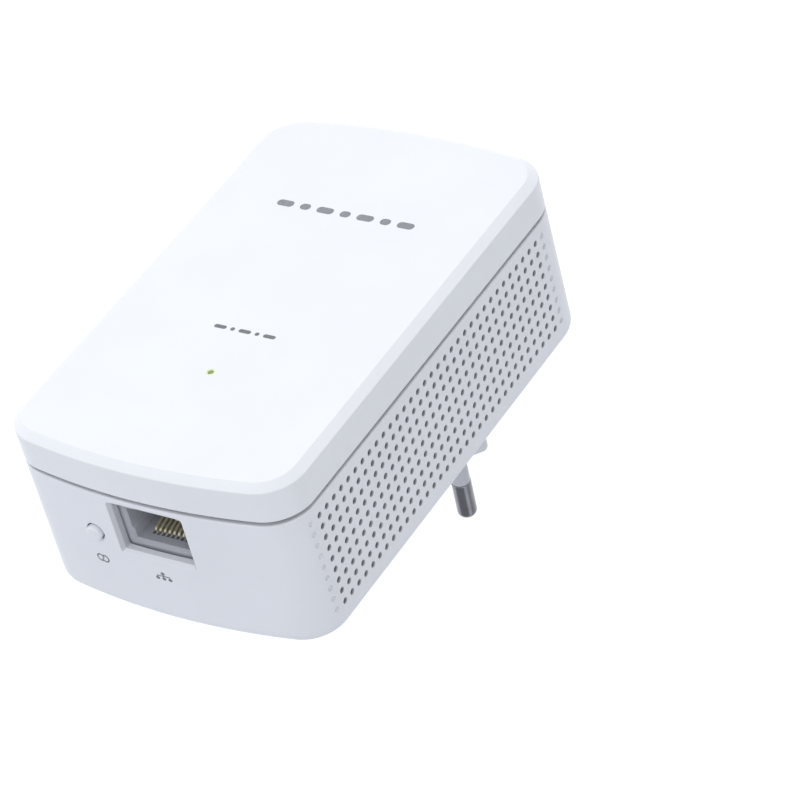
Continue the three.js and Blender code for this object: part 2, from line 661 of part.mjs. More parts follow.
function makeTransformerCore() {
  const base = POWER_BOARD_Y - CORE_LIFT;
  const top = base - CORE.height;
  const half = CORE.width / 2;
  const lowZ = CORE.z - CORE.length / 2;
  const highZ = CORE.z + CORE.length / 2;
  let core = block(CORE.x - half, CORE.x + half, top, base, lowZ, highZ);
  for (const side of [-1, 1]) {
    const inner = CORE.x + side * (CORE.middleLeg / 2);
    const outer = CORE.x + side * (half - CORE.legs);
    core = core.subtract(block(
      Math.min(inner, outer), Math.max(inner, outer),
      top + CORE_YOKE, base - CORE_YOKE, lowZ - 1, highZ + 1,
    ));
  }
  return core;
}

function makeTransformerWinding() {
  const base = POWER_BOARD_Y - CORE_LIFT;
  const outerHalf = CORE.width / 2 - CORE.legs - GAP;
  const innerHalf = CORE.middleLeg / 2 + GAP;
  const halfLength = CORE.length / 2;
  const lowY = base - CORE.height + CORE_YOKE + GAP;
  const highY = base - CORE_YOKE - GAP;
  const outer = block(
    CORE.x - outerHalf, CORE.x + outerHalf, lowY, highY,
    CORE.z - halfLength - WINDING_OVERHANG, CORE.z + halfLength + WINDING_OVERHANG,
  );
  return outer.subtract(block(
    CORE.x - innerHalf, CORE.x + innerHalf, lowY - 1, highY + 1,
    CORE.z - halfLength - GAP, CORE.z + halfLength + GAP,
  ));
}

// A can standing on the power board, with a small bevel at both rims.
function makeElectrolytic({ x, z, radius, height }) {
  const rim = 0.5;
  const profile = [
    [0, 0],
    [radius - rim, 0],
    [radius, rim],
    [radius, height - rim],
    [radius - rim, height],
    [0, height],
  ];
  const geometry = lathe(profile, 24);
  geometry.translate(x, POWER_BOARD_Y - GAP - height, z);
  return toSolid(geometry);
}

// A ring lying flat, half sunk in its carrier.
const CHOKE = { x: 13, z: 13, ringRadius: 6.2, wireRadius: 2.4, width: 15, length: 14, height: 4.5 };

function makeChoke() {
  const ring = new THREE.TorusGeometry(CHOKE.ringRadius, CHOKE.wireRadius, 10, 24);
  ring.rotateX(Math.PI / 2);
  ring.translate(CHOKE.x, POWER_BOARD_Y - GAP - CHOKE.height - CHOKE.wireRadius / 2, CHOKE.z);
  return toSolid(ring).add(partOnBoard(POWER_BOARD_Y, CHOKE));
}

// A glass tube between two end caps.
const FUSE = { x: -16, z: 17.5, halfLength: 5.5, tubeRadius: 1.7, capRadius: 2.1, capLength: 3 };

function makeFuse() {
  const y = POWER_BOARD_Y - GAP - FUSE.capRadius;
  const left = FUSE.x - FUSE.halfLength;
  const right = FUSE.x + FUSE.halfLength;
  const tube = rodX(FUSE.tubeRadius, y, FUSE.z, left + 1, right - 1);
  const leftCap = rodX(FUSE.capRadius, y, FUSE.z, left, left + FUSE.capLength);
  const rightCap = rodX(FUSE.capRadius, y, FUSE.z, right - FUSE.capLength, right);
  return tube.add(leftCap).add(rightCap);
}

// A round ceramic part standing on its edge.
function makeDisc({ x, z, radius, thickness }) {
  return rodZ(radius, x, POWER_BOARD_Y - GAP - radius, z - thickness / 2, z + thickness / 2, 20);
}

// The main chip and the finned sink that stands on it.
const MAIN_CHIP = { x: -15.4, z: -54, width: 12, length: 12, height: 1.4 };
const SINK = { width: 13, length: 14, base: 1.5, height: 7, fins: 6, finThickness: 1 };

function makeHeatSink() {
  const foot = MAIN_BOARD_Y - GAP - MAIN_CHIP.height - GAP;
  const left = MAIN_CHIP.x - SINK.width / 2;
  const lowZ = MAIN_CHIP.z - SINK.length / 2;
  const highZ = MAIN_CHIP.z + SINK.length / 2;
  let sink = block(left, left + SINK.width, foot - SINK.base, foot, lowZ, highZ);
  const pitch = (SINK.width - SINK.finThickness) / (SINK.fins - 1);
  for (let index = 0; index < SINK.fins; index += 1) {
    const x = left + index * pitch;
    sink = sink.add(block(x, x + SINK.finThickness, foot - SINK.height, foot - SINK.base / 2, lowZ, highZ));
  }
  return sink;
}

const BULK_CAPACITOR = { x: 13, z: -14, radius: 6.25, height: 21 };
const OUTPUT_CAPACITOR = { x: 1.5, z: -20, radius: 4, height: 12 };
const INTERFERENCE_CAPACITOR = { x: -12, z: 9, width: 17.5, length: 8.5, height: 14.5 };
const SURGE_VARISTOR = { x: -1, z: 17, radius: 5, thickness: 3.5 };
const SAFETY_CAPACITOR = { x: 0.9, z: 5, radius: 3.6, thickness: 3 };
const BRIDGE_RECTIFIER = { x: 12, z: 0, width: 8.5, length: 6.5, height: 2.6 };
const POWER_CONTROLLER = { x: 0.5, z: -9, width: 6.5, length: 9, height: 3.4 };
const LAN_TRANSFORMER = { x: 17.5, z: -62, width: 13, length: 16, height: 6 };
const MEMORY_CHIP = { x: -15, z: -38, width: 6, length: 5, height: 1.6 };
const CLOCK_CRYSTAL = { x: -2, z: -38, width: 11, length: 4.5, height: 3.5 };
const LINE_TRANSFORMER = { x: 14, z: -40, width: 13, length: 11, height: 9 };

// ---------------------------------------------------------------- assembly
const adapter = new THREE.Group();

function add(name, solid, colour) {
  const [color, roughness, metalness] = COLOURS[colour];
  const material = new THREE.MeshStandardMaterial({ color, roughness, metalness });
  const mesh = new THREE.Mesh(toGeometry(solid), material);
  mesh.name = name;
  adapter.add(mesh);
}

add('front_cover', makeFrontCover(), 'cover');
add('rear_housing', makeRearHousing(), 'housing');
add('rating_label', makeRatingLabel(), 'label');

add('plug_block', makePlugBlock(), 'plug');
add('plug_pin_left', makePlugPin(-1), 'pin');
add('plug_pin_right', makePlugPin(1), 'pin');
add('pin_sleeve_left', makePinSleeve(-1), 'sleeve');
add('pin_sleeve_right', makePinSleeve(1), 'sleeve');
add('live_lead', makeMainsLead(-1), 'red_wire');
add('neutral_lead', makeMainsLead(1), 'blue_wire');

add('power_board', makeBoard(POWER_BOARD_Y, POWER_BOARD_LOW_Z, FAR, POWER_SCREW_X, POWER_SCREW_Z), 'board');
add('main_board', makeBoard(MAIN_BOARD_Y, -FAR, MAIN_BOARD_TOP_Z, MAIN_SCREW_X, MAIN_SCREW_Z), 'board');
add('board_header', makeBoardHeader(), 'black');
for (const [name, [x, z, boardY]] of Object.entries(screwPlaces())) {
  add(name, makeScrew(x, z, boardY), 'steel');
}

add('lan_jack_housing', makeJackHousing(), 'jack');
add('lan_contact_carrier', makeContactCarrier(), 'black');
for (let index = 0; index < CONTACT_COUNT; index += 1) {
  add(`lan_contact_${index + 1}`, makeContact(index), 'gold');
}

add('pair_button', makeButtonCap(), 'housing');
add('switch_plunger', makeSwitchPlunger(), 'black');
add('switch_body', makeSwitchBody(), 'black');
add('light_pipe', makeLightPipe(), 'clear');
add('status_led', makeStatusLed(), 'led');

add('transformer_core', makeTransformerCore(), 'ferrite');
add('transformer_winding', makeTransformerWinding(), 'tape');
add('bulk_capacitor', makeElectrolytic(BULK_CAPACITOR), 'can');
add('output_capacitor', makeElectrolytic(OUTPUT_CAPACITOR), 'can');
add('interference_capacitor', partOnBoard(POWER_BOARD_Y, INTERFERENCE_CAPACITOR), 'film');
add('mains_choke', makeChoke(), 'ferrite');
add('mains_fuse', makeFuse(), 'glass');
add('surge_varistor', makeDisc(SURGE_VARISTOR), 'ceramic');
add('safety_capacitor', makeDisc(SAFETY_CAPACITOR), 'ceramic');
add('bridge_rectifier', partOnBoard(POWER_BOARD_Y, BRIDGE_RECTIFIER), 'black');
add('power_controller_chip', partOnBoard(POWER_BOARD_Y, POWER_CONTROLLER), 'black');

add('lan_transformer', partOnBoard(MAIN_BOARD_Y, LAN_TRANSFORMER), 'black');
add('main_chip', partOnBoard(MAIN_BOARD_Y, MAIN_CHIP), 'black');
add('heat_sink', makeHeatSink(), 'aluminium');
add('memory_chip', partOnBoard(MAIN_BOARD_Y, MEMORY_CHIP), 'black');
add('clock_crystal', partOnBoard(MAIN_BOARD_Y, CLOCK_CRYSTAL), 'steel');
add('line_coupling_transformer', partOnBoard(MAIN_BOARD_Y, LINE_TRANSFORMER), 'tape');

export default adapter;
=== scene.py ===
"""Looks of the powerline adapter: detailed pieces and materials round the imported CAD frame."""

import json
import math

import bmesh
import bpy
from mathutils import Matrix, Vector


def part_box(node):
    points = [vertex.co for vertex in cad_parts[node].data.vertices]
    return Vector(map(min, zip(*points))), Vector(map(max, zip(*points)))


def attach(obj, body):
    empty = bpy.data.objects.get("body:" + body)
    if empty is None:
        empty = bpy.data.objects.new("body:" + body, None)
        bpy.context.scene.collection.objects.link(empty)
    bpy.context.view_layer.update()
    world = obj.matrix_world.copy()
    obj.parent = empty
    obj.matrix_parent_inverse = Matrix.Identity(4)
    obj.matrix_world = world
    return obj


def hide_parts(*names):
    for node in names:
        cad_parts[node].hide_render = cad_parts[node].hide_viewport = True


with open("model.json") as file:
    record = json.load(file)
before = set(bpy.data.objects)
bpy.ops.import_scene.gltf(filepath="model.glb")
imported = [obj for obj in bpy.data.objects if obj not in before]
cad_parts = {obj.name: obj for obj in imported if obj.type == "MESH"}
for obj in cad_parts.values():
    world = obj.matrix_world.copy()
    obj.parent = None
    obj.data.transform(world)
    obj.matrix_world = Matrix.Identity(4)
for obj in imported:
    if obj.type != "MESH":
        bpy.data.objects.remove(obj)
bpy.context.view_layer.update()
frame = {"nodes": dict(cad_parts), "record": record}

MM = 0.001

# ---- places, from the CAD nodes
cover_low, cover_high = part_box("front_cover")
housing_low, housing_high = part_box("rear_housing")
jack_low, jack_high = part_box("lan_jack_housing")
contact_low, contact_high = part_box("lan_contact_1")
cap_low, cap_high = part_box("pair_button")
light_low, light_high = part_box("light_pipe")
label_low, label_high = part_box("rating_label")

HALF_WIDTH = cover_high.x
HALF_LENGTH = (cover_high.z - cover_low.z) / 2
CENTRE_Z = (cover_high.z + cover_low.z) / 2
LOW_END_Z = cover_low.z
FRONT_Y = cover_low.y
BACK_Y = housing_high.y
RIM_Y = housing_low.y

# case
END_BOW = 3.36 * MM
CORNER_RADIUS = 8.3 * MM
BACK_EDGE_RADIUS = 3.0 * MM
WALL = 2.0 * MM
BACK_WALL = 2.2 * MM
FLOOR_Y = BACK_Y - BACK_WALL
GAP = 0.3 * MM
CHAMFER_INSET = 1.8 * MM
CHAMFER_DEPTH = 1.2 * MM
COVER_BAND = 6.7 * MM
COVER_RIM_Y = FRONT_Y + CHAMFER_DEPTH + COVER_BAND - 0.1 * MM
LIP_INSET = 1.7 * MM  # depth of the groove between cover and housing
LIP_CLEARANCE = 0.08 * MM
RIM_CLEARANCE = 0.12 * MM
TONGUE_INSET = WALL + GAP
TONGUE_THICKNESS = 1.0 * MM
TONGUE_REACH = 3.0 * MM
POST_RADIUS = 2.6 * MM
POST_BORE_RADIUS = 1.3 * MM
END_RADIUS = (HALF_WIDTH**2 + END_BOW**2) / (2 * END_BOW)

# vents in both side walls
VENT_ROWS = 9
VENT_COLUMNS = 33
VENT_ROW_PITCH = 2.55 * MM
VENT_COLUMN_PITCH = 2.4375 * MM
VENT_FIRST_ROW_Y = FRONT_Y + 11.5 * MM
VENT_FIRST_COLUMN_Z = LOW_END_Z + 10.42 * MM
VENT_RADIUS = 0.62 * MM
VENT_EDGE = 0.1 * MM
VENT_SHADE = 0.6 * MM  # the depth at which the painted shade on the holes' walls is darkest
VENT_SIDES = 18
VENT_WALL = 1.3 * MM  # the side wall is thinner where it is pierced
DIMPLE_DEPTH = 0.7 * MM
DIMPLE_TAPER = 0.9

# LAN window and socket
PORT_Y = -39.45 * MM
PORT_HALF_WIDTH = 7.6 * MM
PORT_HALF_HEIGHT = 5.45 * MM
PORT_FUNNEL = 0.8 * MM
PORT_CORNER_RADIUS = 0.4 * MM
BEZEL_STEP = 0.15 * MM
BEZEL_CORNER_RADIUS = 0.6 * MM
CAVITY_HALF_WIDTH = 5.95 * MM
CAVITY_FLOOR_Y = -35.4 * MM
CAVITY_HEIGHT = 6.9 * MM
CAVITY_DEPTH = 12.0 * MM
LATCH_HALF_WIDTH = 3.2 * MM
LATCH_HEIGHT = 1.9 * MM
LATCH_STEP_WIDTH = 1.2 * MM
LATCH_STEP_HEIGHT = 0.7 * MM
CAVITY_STEP = 0.45 * MM
LEAD_IN = 0.5 * MM
CONTACT_TROUGH = 1.2 * MM
CONTACT_COUNT = 8
CONTACT_PITCH = 1.02 * MM
CONTACT_WIRE_RADIUS = 0.3 * MM
CONTACT_SLOT_HALF_WIDTH = 0.36 * MM

# plug
BOSS_HALF_LENGTH = 18.0 * MM
BOSS_FLAT_HALF_LENGTH = 11.6 * MM
BOSS_HALF_HEIGHT = 6.85 * MM
BOSS_CORNER_RADIUS = 1.6 * MM
BOSS_FACE_ROUND = 0.8 * MM
BOSS_SIDE_WALL = 2.0 * MM
BOSS_FACE_WALL = 3.0 * MM
FLANGE_MARGIN = 2.0 * MM
FLANGE_THICKNESS = 1.8 * MM
PIN_HALF_SPACING = 9.5 * MM
PIN_TILT = math.radians(2.5)
PIN_RADIUS = 2.0 * MM
PIN_CORE_RADIUS = 1.3 * MM
PIN_LENGTH = 18.98 * MM
PIN_INNER_LENGTH = 6.5 * MM
SLEEVE_RADIUS = 1.88 * MM
SLEEVE_LENGTH = 10.0 * MM
SLEEVE_INNER_LENGTH = 2.6 * MM
COLLAR_RADIUS = 2.7 * MM
COLLAR_HEIGHT = 2.4 * MM

# button and light
BUTTON_X = (cap_low.x + cap_high.x) / 2
BUTTON_Y = (cap_low.y + cap_high.y) / 2
BUTTON_RADIUS = 1.6 * MM
BUTTON_FLANGE_RADIUS = 2.7 * MM
BUTTON_FOOT_RADIUS = 1.2 * MM
BUTTON_FLANGE_DEPTH = 0.8 * MM
BUTTON_HOLE_EDGE = 0.18 * MM
LIGHT_Z = (light_low.z + light_high.z) / 2
LIGHT_HOLE_RADIUS = 0.58 * MM
LIGHT_HOLE_EDGE = 0.12 * MM
LIGHT_TIP_RADIUS = 0.5 * MM
LIGHT_RECESS = 0.3 * MM
LIGHT_PIPE_RADIUS = 1.4 * MM

# printing
INK = 0.03 * MM
FACE_Y = FRONT_Y + INK  # the cover's face stands back by the ink, which ends flush with the CAD
MAKER_MARK_Z = CENTRE_Z + 23.5 * MM
MODEL_MARK_Z = CENTRE_Z - 11.9 * MM
SIGN_Y = -30.0 * MM
MAKER_BARS = (3.6, 2.2, 3.6, 2.2, 3.6, 2.2, 3.6)  # lengths and gaps in millimetres
MAKER_GAP = 1.55
MODEL_BARS = (2.6, 0.9, 2.6, 0.9, 2.6)
MODEL_GAP = 0.925
LABEL_CORNER_RADIUS = 1.2 * MM
LABEL_LINES = (22.0, 15.0, 19.0, 12.0, 17.0)

SHARP = math.radians(32)  # edges sharper than this aren't smoothed
TINY = 1e-9


# ---- camera
VIEW_AZIMUTH = math.radians(39.464)
VIEW_ELEVATION = math.radians(-36.759)
VIEW_ROLL = math.radians(-38.6225)
VIEW_DISTANCE = 0.671234
VIEW_TARGET = Vector((0.0161811, -0.0287935, -0.0196550))
LENS = 163.426
SENSOR = 36.0


def make_camera():
    """The camera, below the adapter and turned about its own axis."""
    level = math.cos(VIEW_ELEVATION)
    back = Vector((math.sin(VIEW_AZIMUTH) * level, -math.cos(VIEW_AZIMUTH) * level, math.sin(VIEW_ELEVATION)))
    level_right = (-back).cross(Vector((0, 0, 1))).normalized()
    level_up = level_right.cross(-back)
    up = math.cos(VIEW_ROLL) * level_up + math.sin(VIEW_ROLL) * level_right
    right = up.cross(back)
    data = bpy.data.cameras.new("camera")
    data.lens = LENS
    data.sensor_width = SENSOR
    data.clip_start = 0.01
    data.clip_end = 100
    camera = bpy.data.objects.new("camera", data)
    place = Matrix((right, up, back)).transposed().to_4x4()
    place.translation = VIEW_TARGET + VIEW_DISTANCE * back
    camera.matrix_world = place
    bpy.context.scene.collection.objects.link(camera)
    bpy.context.scene.camera = camera


make_camera()


# ---- mesh helpers
def new_object(name, bm):
    """A linked object made from bm, with its normals pointing out."""
    bmesh.ops.recalc_face_normals(bm, faces=bm.faces)
    mesh = bpy.data.meshes.new(name)
    bm.to_mesh(mesh)
    bm.free()
    made = bpy.data.objects.new(name, mesh)
    bpy.context.scene.collection.objects.link(made)
    return made


def rounded_path(corners, steps=5):
    """A path through (u, v, radius) corners, each inner corner rounded off by its radius."""
    path = []
    for index, (u, v, radius) in enumerate(corners):
        corner = Vector((u, v))
        if not radius or index in (0, len(corners) - 1):
            path.append(corner)
            continue
        back = (Vector(corners[index - 1][:2]) - corner).normalized()
        ahead = (Vector(corners[index + 1][:2]) - corner).normalized()
        half = back.angle(ahead) / 2
        centre = corner + (back + ahead).normalized() * radius / math.sin(half)
        start = corner + back * radius / math.tan(half) - centre
        end = corner + ahead * radius / math.tan(half) - centre
        turn = math.atan2(start.x * end.y - start.y * end.x, start.dot(end))
        for step in range(steps + 1):
            a = turn * step / steps
            c, s = math.cos(a), math.sin(a)
            path.append(centre + Vector((c * start.x - s * start.y, s * start.x + c * start.y)))
    return path


def skin(bm, first, second):
    """Faces between two rings of vertices. Either ring may be a single point."""
    sides = max(len(first), len(second))
    for i in range(sides):
        j = (i + 1) % sides
        near = (first[i % len(first)], first[j % len(first)])
        far = (second[j % len(second)], second[i % len(second)])
        corners = list(dict.fromkeys(near + far))
        if len(corners) > 2:
            bm.faces.new(corners)


def loft(name, rings):
    """A closed solid through rings of equal length, capped at both ends."""
    bm = bmesh.new()
    rows = [[bm.verts.new(point) for point in ring] for ring in rings]
    for first, second in zip(rows, rows[1:]):
        skin(bm, first, second)
    bm.faces.new(rows[0])
    bm.faces.new(rows[-1])
    return new_object(name, bm)


def prism(name, outline_at, levels):
    """A loft along Z: outline_at(margin) gives (x, y) points, and levels are (margin, z)."""
    return loft(name, [[Vector((p[0], p[1], z)) for p in outline_at(margin)] for margin, z in levels])


def box_solid(name, across, deep, tall):
    """A block between two values on each axis, used only as a cutter."""
    (left, right), (low, high) = across, tall
    corners = ((left, low), (right, low), (right, high), (left, high))
    return loft(name, [at_y(corners, y) for y in deep])


def turned_rows(bm, profile, sides, place):
    """Rings of vertices about +Y from (radius, y) points, and one vertex where a point is on the axis."""
    rows = []
    for radius, y in profile:
        if radius < TINY:
            rows.append([bm.verts.new(place @ Vector((0, y, 0)))])
            continue
        angles = [2 * math.pi * i / sides for i in range(sides)]
        ring = [Vector((radius * math.cos(a), y, radius * math.sin(a))) for a in angles]
        rows.append([bm.verts.new(place @ point) for point in ring])
    return rows


def many_lathes(name, solids, sides):
    """Closed solids in one mesh: each is a profile turned about +Y, and its place."""
    bm = bmesh.new()
    for profile, place in solids:
        rows = turned_rows(bm, profile, sides, place)
        for first, second in zip(rows, rows[1:]):
            skin(bm, first, second)
        for row in (rows[0], rows[-1]):
            if len(row) > 1:
                bm.faces.new(row)
    return new_object(name, bm)


def lathe(name, profile, sides, place):
    """A closed solid turned about +Y from (radius, y) points, then moved by place."""
    return many_lathes(name, [(profile, place)], sides)


def rod(name, radius, start, end, sides, place):
    """A plain cylinder along +Y, used only as a cutter or as part of a union."""
    return lathe(name, [(0, start), (radius, start), (radius, end), (0, end)], sides, place)


def tube(name, profile, sides, place):
    """Like lathe, for a profile that closes on itself and never meets the axis."""
    bm = bmesh.new()
    rows = turned_rows(bm, profile, sides, place)
    for first, second in zip(rows, rows[1:] + rows[:1]):
        skin(bm, first, second)
    return new_object(name, bm)


def boolean(target, tool, operation="DIFFERENCE"):
    """Cuts tool from target, or joins them, and removes tool."""
    modifier = target.modifiers.new("boolean", "BOOLEAN")
    modifier.object = tool
    modifier.operation = operation
    modifier.solver = "MANIFOLD"
    graph = bpy.context.evaluated_depsgraph_get()
    mesh = bpy.data.meshes.new_from_object(target.evaluated_get(graph))
    target.modifiers.clear()
    target.data = mesh
    bpy.data.objects.remove(tool)


def join(name, objects):
    """One object holding the meshes of several."""
    bm = bmesh.new()
    for made in objects:
        bm.from_mesh(made.data)
        bpy.data.objects.remove(made)
    return new_object(name, bm)


def arc_points(cx, cz, radius, start, end, steps):
    """Points (x, z) on an arc."""
    made = []
    for step in range(steps + 1):
        a = start + (end - start) * step / steps
        made.append((cx + radius * math.cos(a), cz + radius * math.sin(a)))
    return made


def case_ring(inset, y, corner_steps=18, end_steps=36):
    """The case outline drawn inwards by inset: straight sides, bowed ends and round corners."""
    half_width = HALF_WIDTH - inset
    end_radius = END_RADIUS - inset
    corner = CORNER_RADIUS - inset
    end_centre = HALF_LENGTH - inset - end_radius
    corner_x = half_width - corner
    corner_z = end_centre + math.sqrt((end_radius - corner) ** 2 - corner_x**2)
    meet = math.atan2(corner_z - end_centre, corner_x)
    upper = arc_points(corner_x, corner_z, corner, 0, meet, corner_steps)
    upper += arc_points(0, end_centre, end_radius, meet, math.pi - meet, end_steps)[1:-1]
    upper += arc_points(-corner_x, corner_z, corner, math.pi - meet, math.pi, corner_steps)
    lower = [(-x, -z) for x, z in upper]
    return [Vector((x, y, CENTRE_Z + z)) for x, z in upper + lower]


def rounded_polygon(corners, radius, steps=6):
    """Points of a closed polygon with each corner rounded off."""
    count = len(corners)
    made = []
    for i in range(count):
        before, corner, after = corners[i - 1], corners[i], corners[(i + 1) % count]
        made += rounded_path([(*before, 0), (*corner, radius), (*after, 0)], steps)[1:-1]
    return made


def rectangle(half_width, half_height, radius, x=0.0, y=0.0, steps=6):
    """Points of a rounded rectangle."""
    signs = ((-1, -1), (1, -1), (1, 1), (-1, 1))
    return rounded_polygon([(x + sx * half_width, y + sy * half_height) for sx, sy in signs], radius, steps)


def at_y(outline, y):
    """Points (x, z) as a ring at depth y."""
    return [Vector((p[0], y, p[1])) for p in outline]


def plug_ring(inset, y, steps=6):
    """The plug's six-sided outline, pointed at both ends, drawn inwards by inset."""
    run = BOSS_HALF_LENGTH - BOSS_FLAT_HALF_LENGTH
    slope = math.hypot(run, BOSS_HALF_HEIGHT)
    height = BOSS_HALF_HEIGHT - inset
    tip = BOSS_HALF_LENGTH - inset * slope / BOSS_HALF_HEIGHT
    flat = tip - height * run / BOSS_HALF_HEIGHT
    corners = [(tip, 0), (flat, height), (-flat, height), (-tip, 0), (-flat, -height), (flat, -height)]
    radius = max(BOSS_CORNER_RADIUS - inset, 0.3 * MM)
    return at_y(rounded_polygon(corners, radius, steps), y)


def end_surface_z(x):
    """The bowed low end at a given x."""
    return LOW_END_Z + END_RADIUS - math.sqrt(END_RADIUS**2 - x**2)


def along_z(x, y, z):
    """Turns a lathe's +Y into +Z and moves it."""
    return Matrix.Translation((x, y, z)) @ Matrix.Rotation(math.radians(90), 4, "X")


def pin_place(side):
    """The leaning axis of one pin."""
    return Matrix.Translation((side * PIN_HALF_SPACING, 0, 0)) @ Matrix.Rotation(side * PIN_TILT, 4, "Z")


# ---- material helpers
class Tree:
    """A small hand for building a node tree."""

    def __init__(self, tree):
        self.tree = tree
        self.tree.nodes.clear()

    def add(self, kind, **values):
        """A node with some of its properties or input values set."""
        node = self.tree.nodes.new(kind)
        for key, value in values.items():
            if hasattr(node, key):
                setattr(node, key, value)
            else:
                node.inputs[key.replace("_", " ")].default_value = value
        return node

    def link(self, source, output, target, socket):
        self.tree.links.new(source.outputs[output], target.inputs[socket])

    def ranged(self, source, output, low, high, to_low, to_high):
        """source mapped from low..high to to_low..to_high, and clamped."""
        ends = {"From_Min": low, "From_Max": high, "To_Min": to_low, "To_Max": to_high}
        node = self.add("ShaderNodeMapRange", **ends)
        self.link(source, output, node, "Value")
        return node


class Nodes(Tree):
    """The node tree of one new material."""

    def __init__(self, name):
        self.material = bpy.data.materials.new(name)
        self.material.use_nodes = True
        super().__init__(self.material.node_tree)
        self.output = self.add("ShaderNodeOutputMaterial")
        self.surface = self.add("ShaderNodeBsdfPrincipled")
        self.link(self.surface, "BSDF", self.output, "Surface")
        self.coordinates = self.add("ShaderNodeTexCoord")

    def noise(self, scale, detail=2.0, stretch=None, roughness=0.5):
        """Noise in object coordinates, which may be scaled along each axis first.
        scale is how many cells there are to a metre."""
        texture = self.add("ShaderNodeTexNoise", Scale=scale, Detail=detail, Roughness=roughness)
        if stretch:
            mapping = self.add("ShaderNodeMapping", Scale=stretch)
            self.link(self.coordinates, "Object", mapping, "Vector")
            self.link(mapping, "Vector", texture, "Vector")
        else:
            self.link(self.coordinates, "Object", texture, "Vector")
        return texture

    def mixed(self, factor, first, second):
        """A colour between first and second. Each is a colour or another mix."""
        node = self.add("ShaderNodeMix", data_type="RGBA")
        self.tree.links.new(factor.outputs[0], node.inputs[0])
        for socket, value in ((6, first), (7, second)):
            if isinstance(value, bpy.types.Node):
                self.tree.links.new(value.outputs[2], node.inputs[socket])
            else:
                node.inputs[socket].default_value = (*value, 1)
        return node

    def between(self, noise, first, second, low=0.3, high=0.7, most=1):
        """A colour that goes from first towards second as the noise goes from low to high."""
        return self.mixed(self.ranged(noise, "Fac", low, high, 0, most), first, second)

    def set(self, socket, value):
        """A value all over the surface, on the shader's own socket."""
        self.surface.inputs[socket].default_value = value

    def colour(self, mix):
        self.tree.links.new(mix.outputs[2], self.surface.inputs["Base Color"])

    def roughness(self, noise, low, high):
        """Roughness between low and high, as the noise goes."""
        self.link(self.ranged(noise, "Fac", 0.3, 0.7, low, high), "Result", self.surface, "Roughness")

    def bump(self, heights):
        """Chained bumps: (height node, output, strength, distance)."""
        last = None
        for source, output, strength, distance in heights:
            node = self.add("ShaderNodeBump", Strength=strength, Distance=distance)
            self.link(source, output, node, "Height")
            if last:
                self.link(last, "Normal", node, "Normal")
            last = node
        self.link(last, "Normal", self.surface, "Normal")

    def edges(self, radius):
        """1 along edges and 0 on open faces."""
        bevel = self.add("ShaderNodeBevel", samples=6, Radius=radius)
        geometry = self.add("ShaderNodeNewGeometry")
        dot = self.add("ShaderNodeVectorMath", operation="DOT_PRODUCT")
        self.link(bevel, "Normal", dot, 0)
        self.link(geometry, "True Normal", dot, 1)
        return self.ranged(dot, "Value", 0.995, 0.9, 0.0, 1.0)


def shade(colour, factor):
    """colour made lighter or darker."""
    return tuple(min(1.0, c * factor) for c in colour)


def moulded_plastic(
    name, colour, rough=0.36, grain=5200.0, depth=0.02, edge=0.35, spread=0.03, glow=None, deep=None
):
    """Moulded plastic: fine spark-eroded grain, faint flow clouds, polished and cleaner edges.
    glow is where a light behind the plastic tints it: centre, inner and outer radius, and tint.
    deep is painted shade: it darkens the plastic towards the middle of the case: start and end, as |x|, and
    colour."""
    n = Nodes(name)
    clouds = n.noise(55.0, detail=3.0)
    specks = n.noise(2300.0, detail=2.0)
    fine = n.noise(grain, detail=3.0, roughness=0.6)
    waves = n.noise(160.0, detail=1.0)
    body = n.between(clouds, shade(colour, 1 - spread), shade(colour, 1 + spread / 2), 0.35, 0.65)
    dusted = n.between(specks, body, shade(colour, 0.9), 0.68, 0.8, 0.35)
    worn = n.mixed(n.ranged(n.edges(edge * MM), "Result", 0, 1, 0, 0.4), dusted, shade(colour, 1.06))
    if glow:
        centre, inner, outer, tint = glow
        distance = n.add("ShaderNodeVectorMath", operation="DISTANCE")
        distance.inputs[1].default_value = centre
        n.link(n.coordinates, "Object", distance, 0)
        worn = n.mixed(n.ranged(distance, "Value", inner, outer, 0.6, 0), worn, tint)
    # painted shade: the plastic darkens with depth into the wall
    if deep:
        start, end, tint = deep
        axes = n.add("ShaderNodeSeparateXYZ")
        n.link(n.coordinates, "Object", axes, "Vector")
        across = n.add("ShaderNodeMath", operation="ABSOLUTE")
        n.link(axes, "X", across, 0)
        worn = n.mixed(n.ranged(across, "Value", end, start, 1, 0), worn, tint)
    n.colour(worn)
    n.roughness(specks, rough - 0.06, rough + 0.07)
    n.bump([(waves, "Fac", 0.12, 0.01 * MM), (fine, "Fac", 0.5, depth * MM)])
    n.set("IOR", 1.5)
    return n.material


def turned_metal(name, colour, rough, stretch, line_scale=30.0, depth=0.004):
    """Metal with fine lines from the lathe or the drawing die, and small handling marks."""
    n = Nodes(name)
    lines = n.noise(line_scale, detail=4.0, stretch=stretch, roughness=0.7)
    smudges = n.noise(420.0, detail=3.0)
    marks = n.noise(1800.0, detail=2.0)
    base = n.between(smudges, shade(colour, 0.93), shade(colour, 1.05), 0.35, 0.7)
    n.colour(n.between(lines, base, shade(colour, 0.75), 0.35, 0.65, 0.3))
    n.set("Metallic", 1.0)
    n.roughness(marks, rough - 0.03, rough + 0.05)
    n.bump([(lines, "Fac", 0.35, depth * MM), (marks, "Fac", 0.1, depth * MM)])
    return n.material


def printed_ink(name, colour, rough=0.42):
    """Pad-printed ink: a little uneven in cover and gloss."""
    n = Nodes(name)
    cover = n.noise(1500.0, detail=3.0)
    grain = n.noise(5200.0, detail=2.0)
    n.colour(n.between(cover, shade(colour, 0.9), shade(colour, 1.12), 0.35, 0.7))
    n.roughness(grain, rough - 0.07, rough + 0.07)
    n.bump([(grain, "Fac", 0.3, 0.01 * MM)])
    return n.material


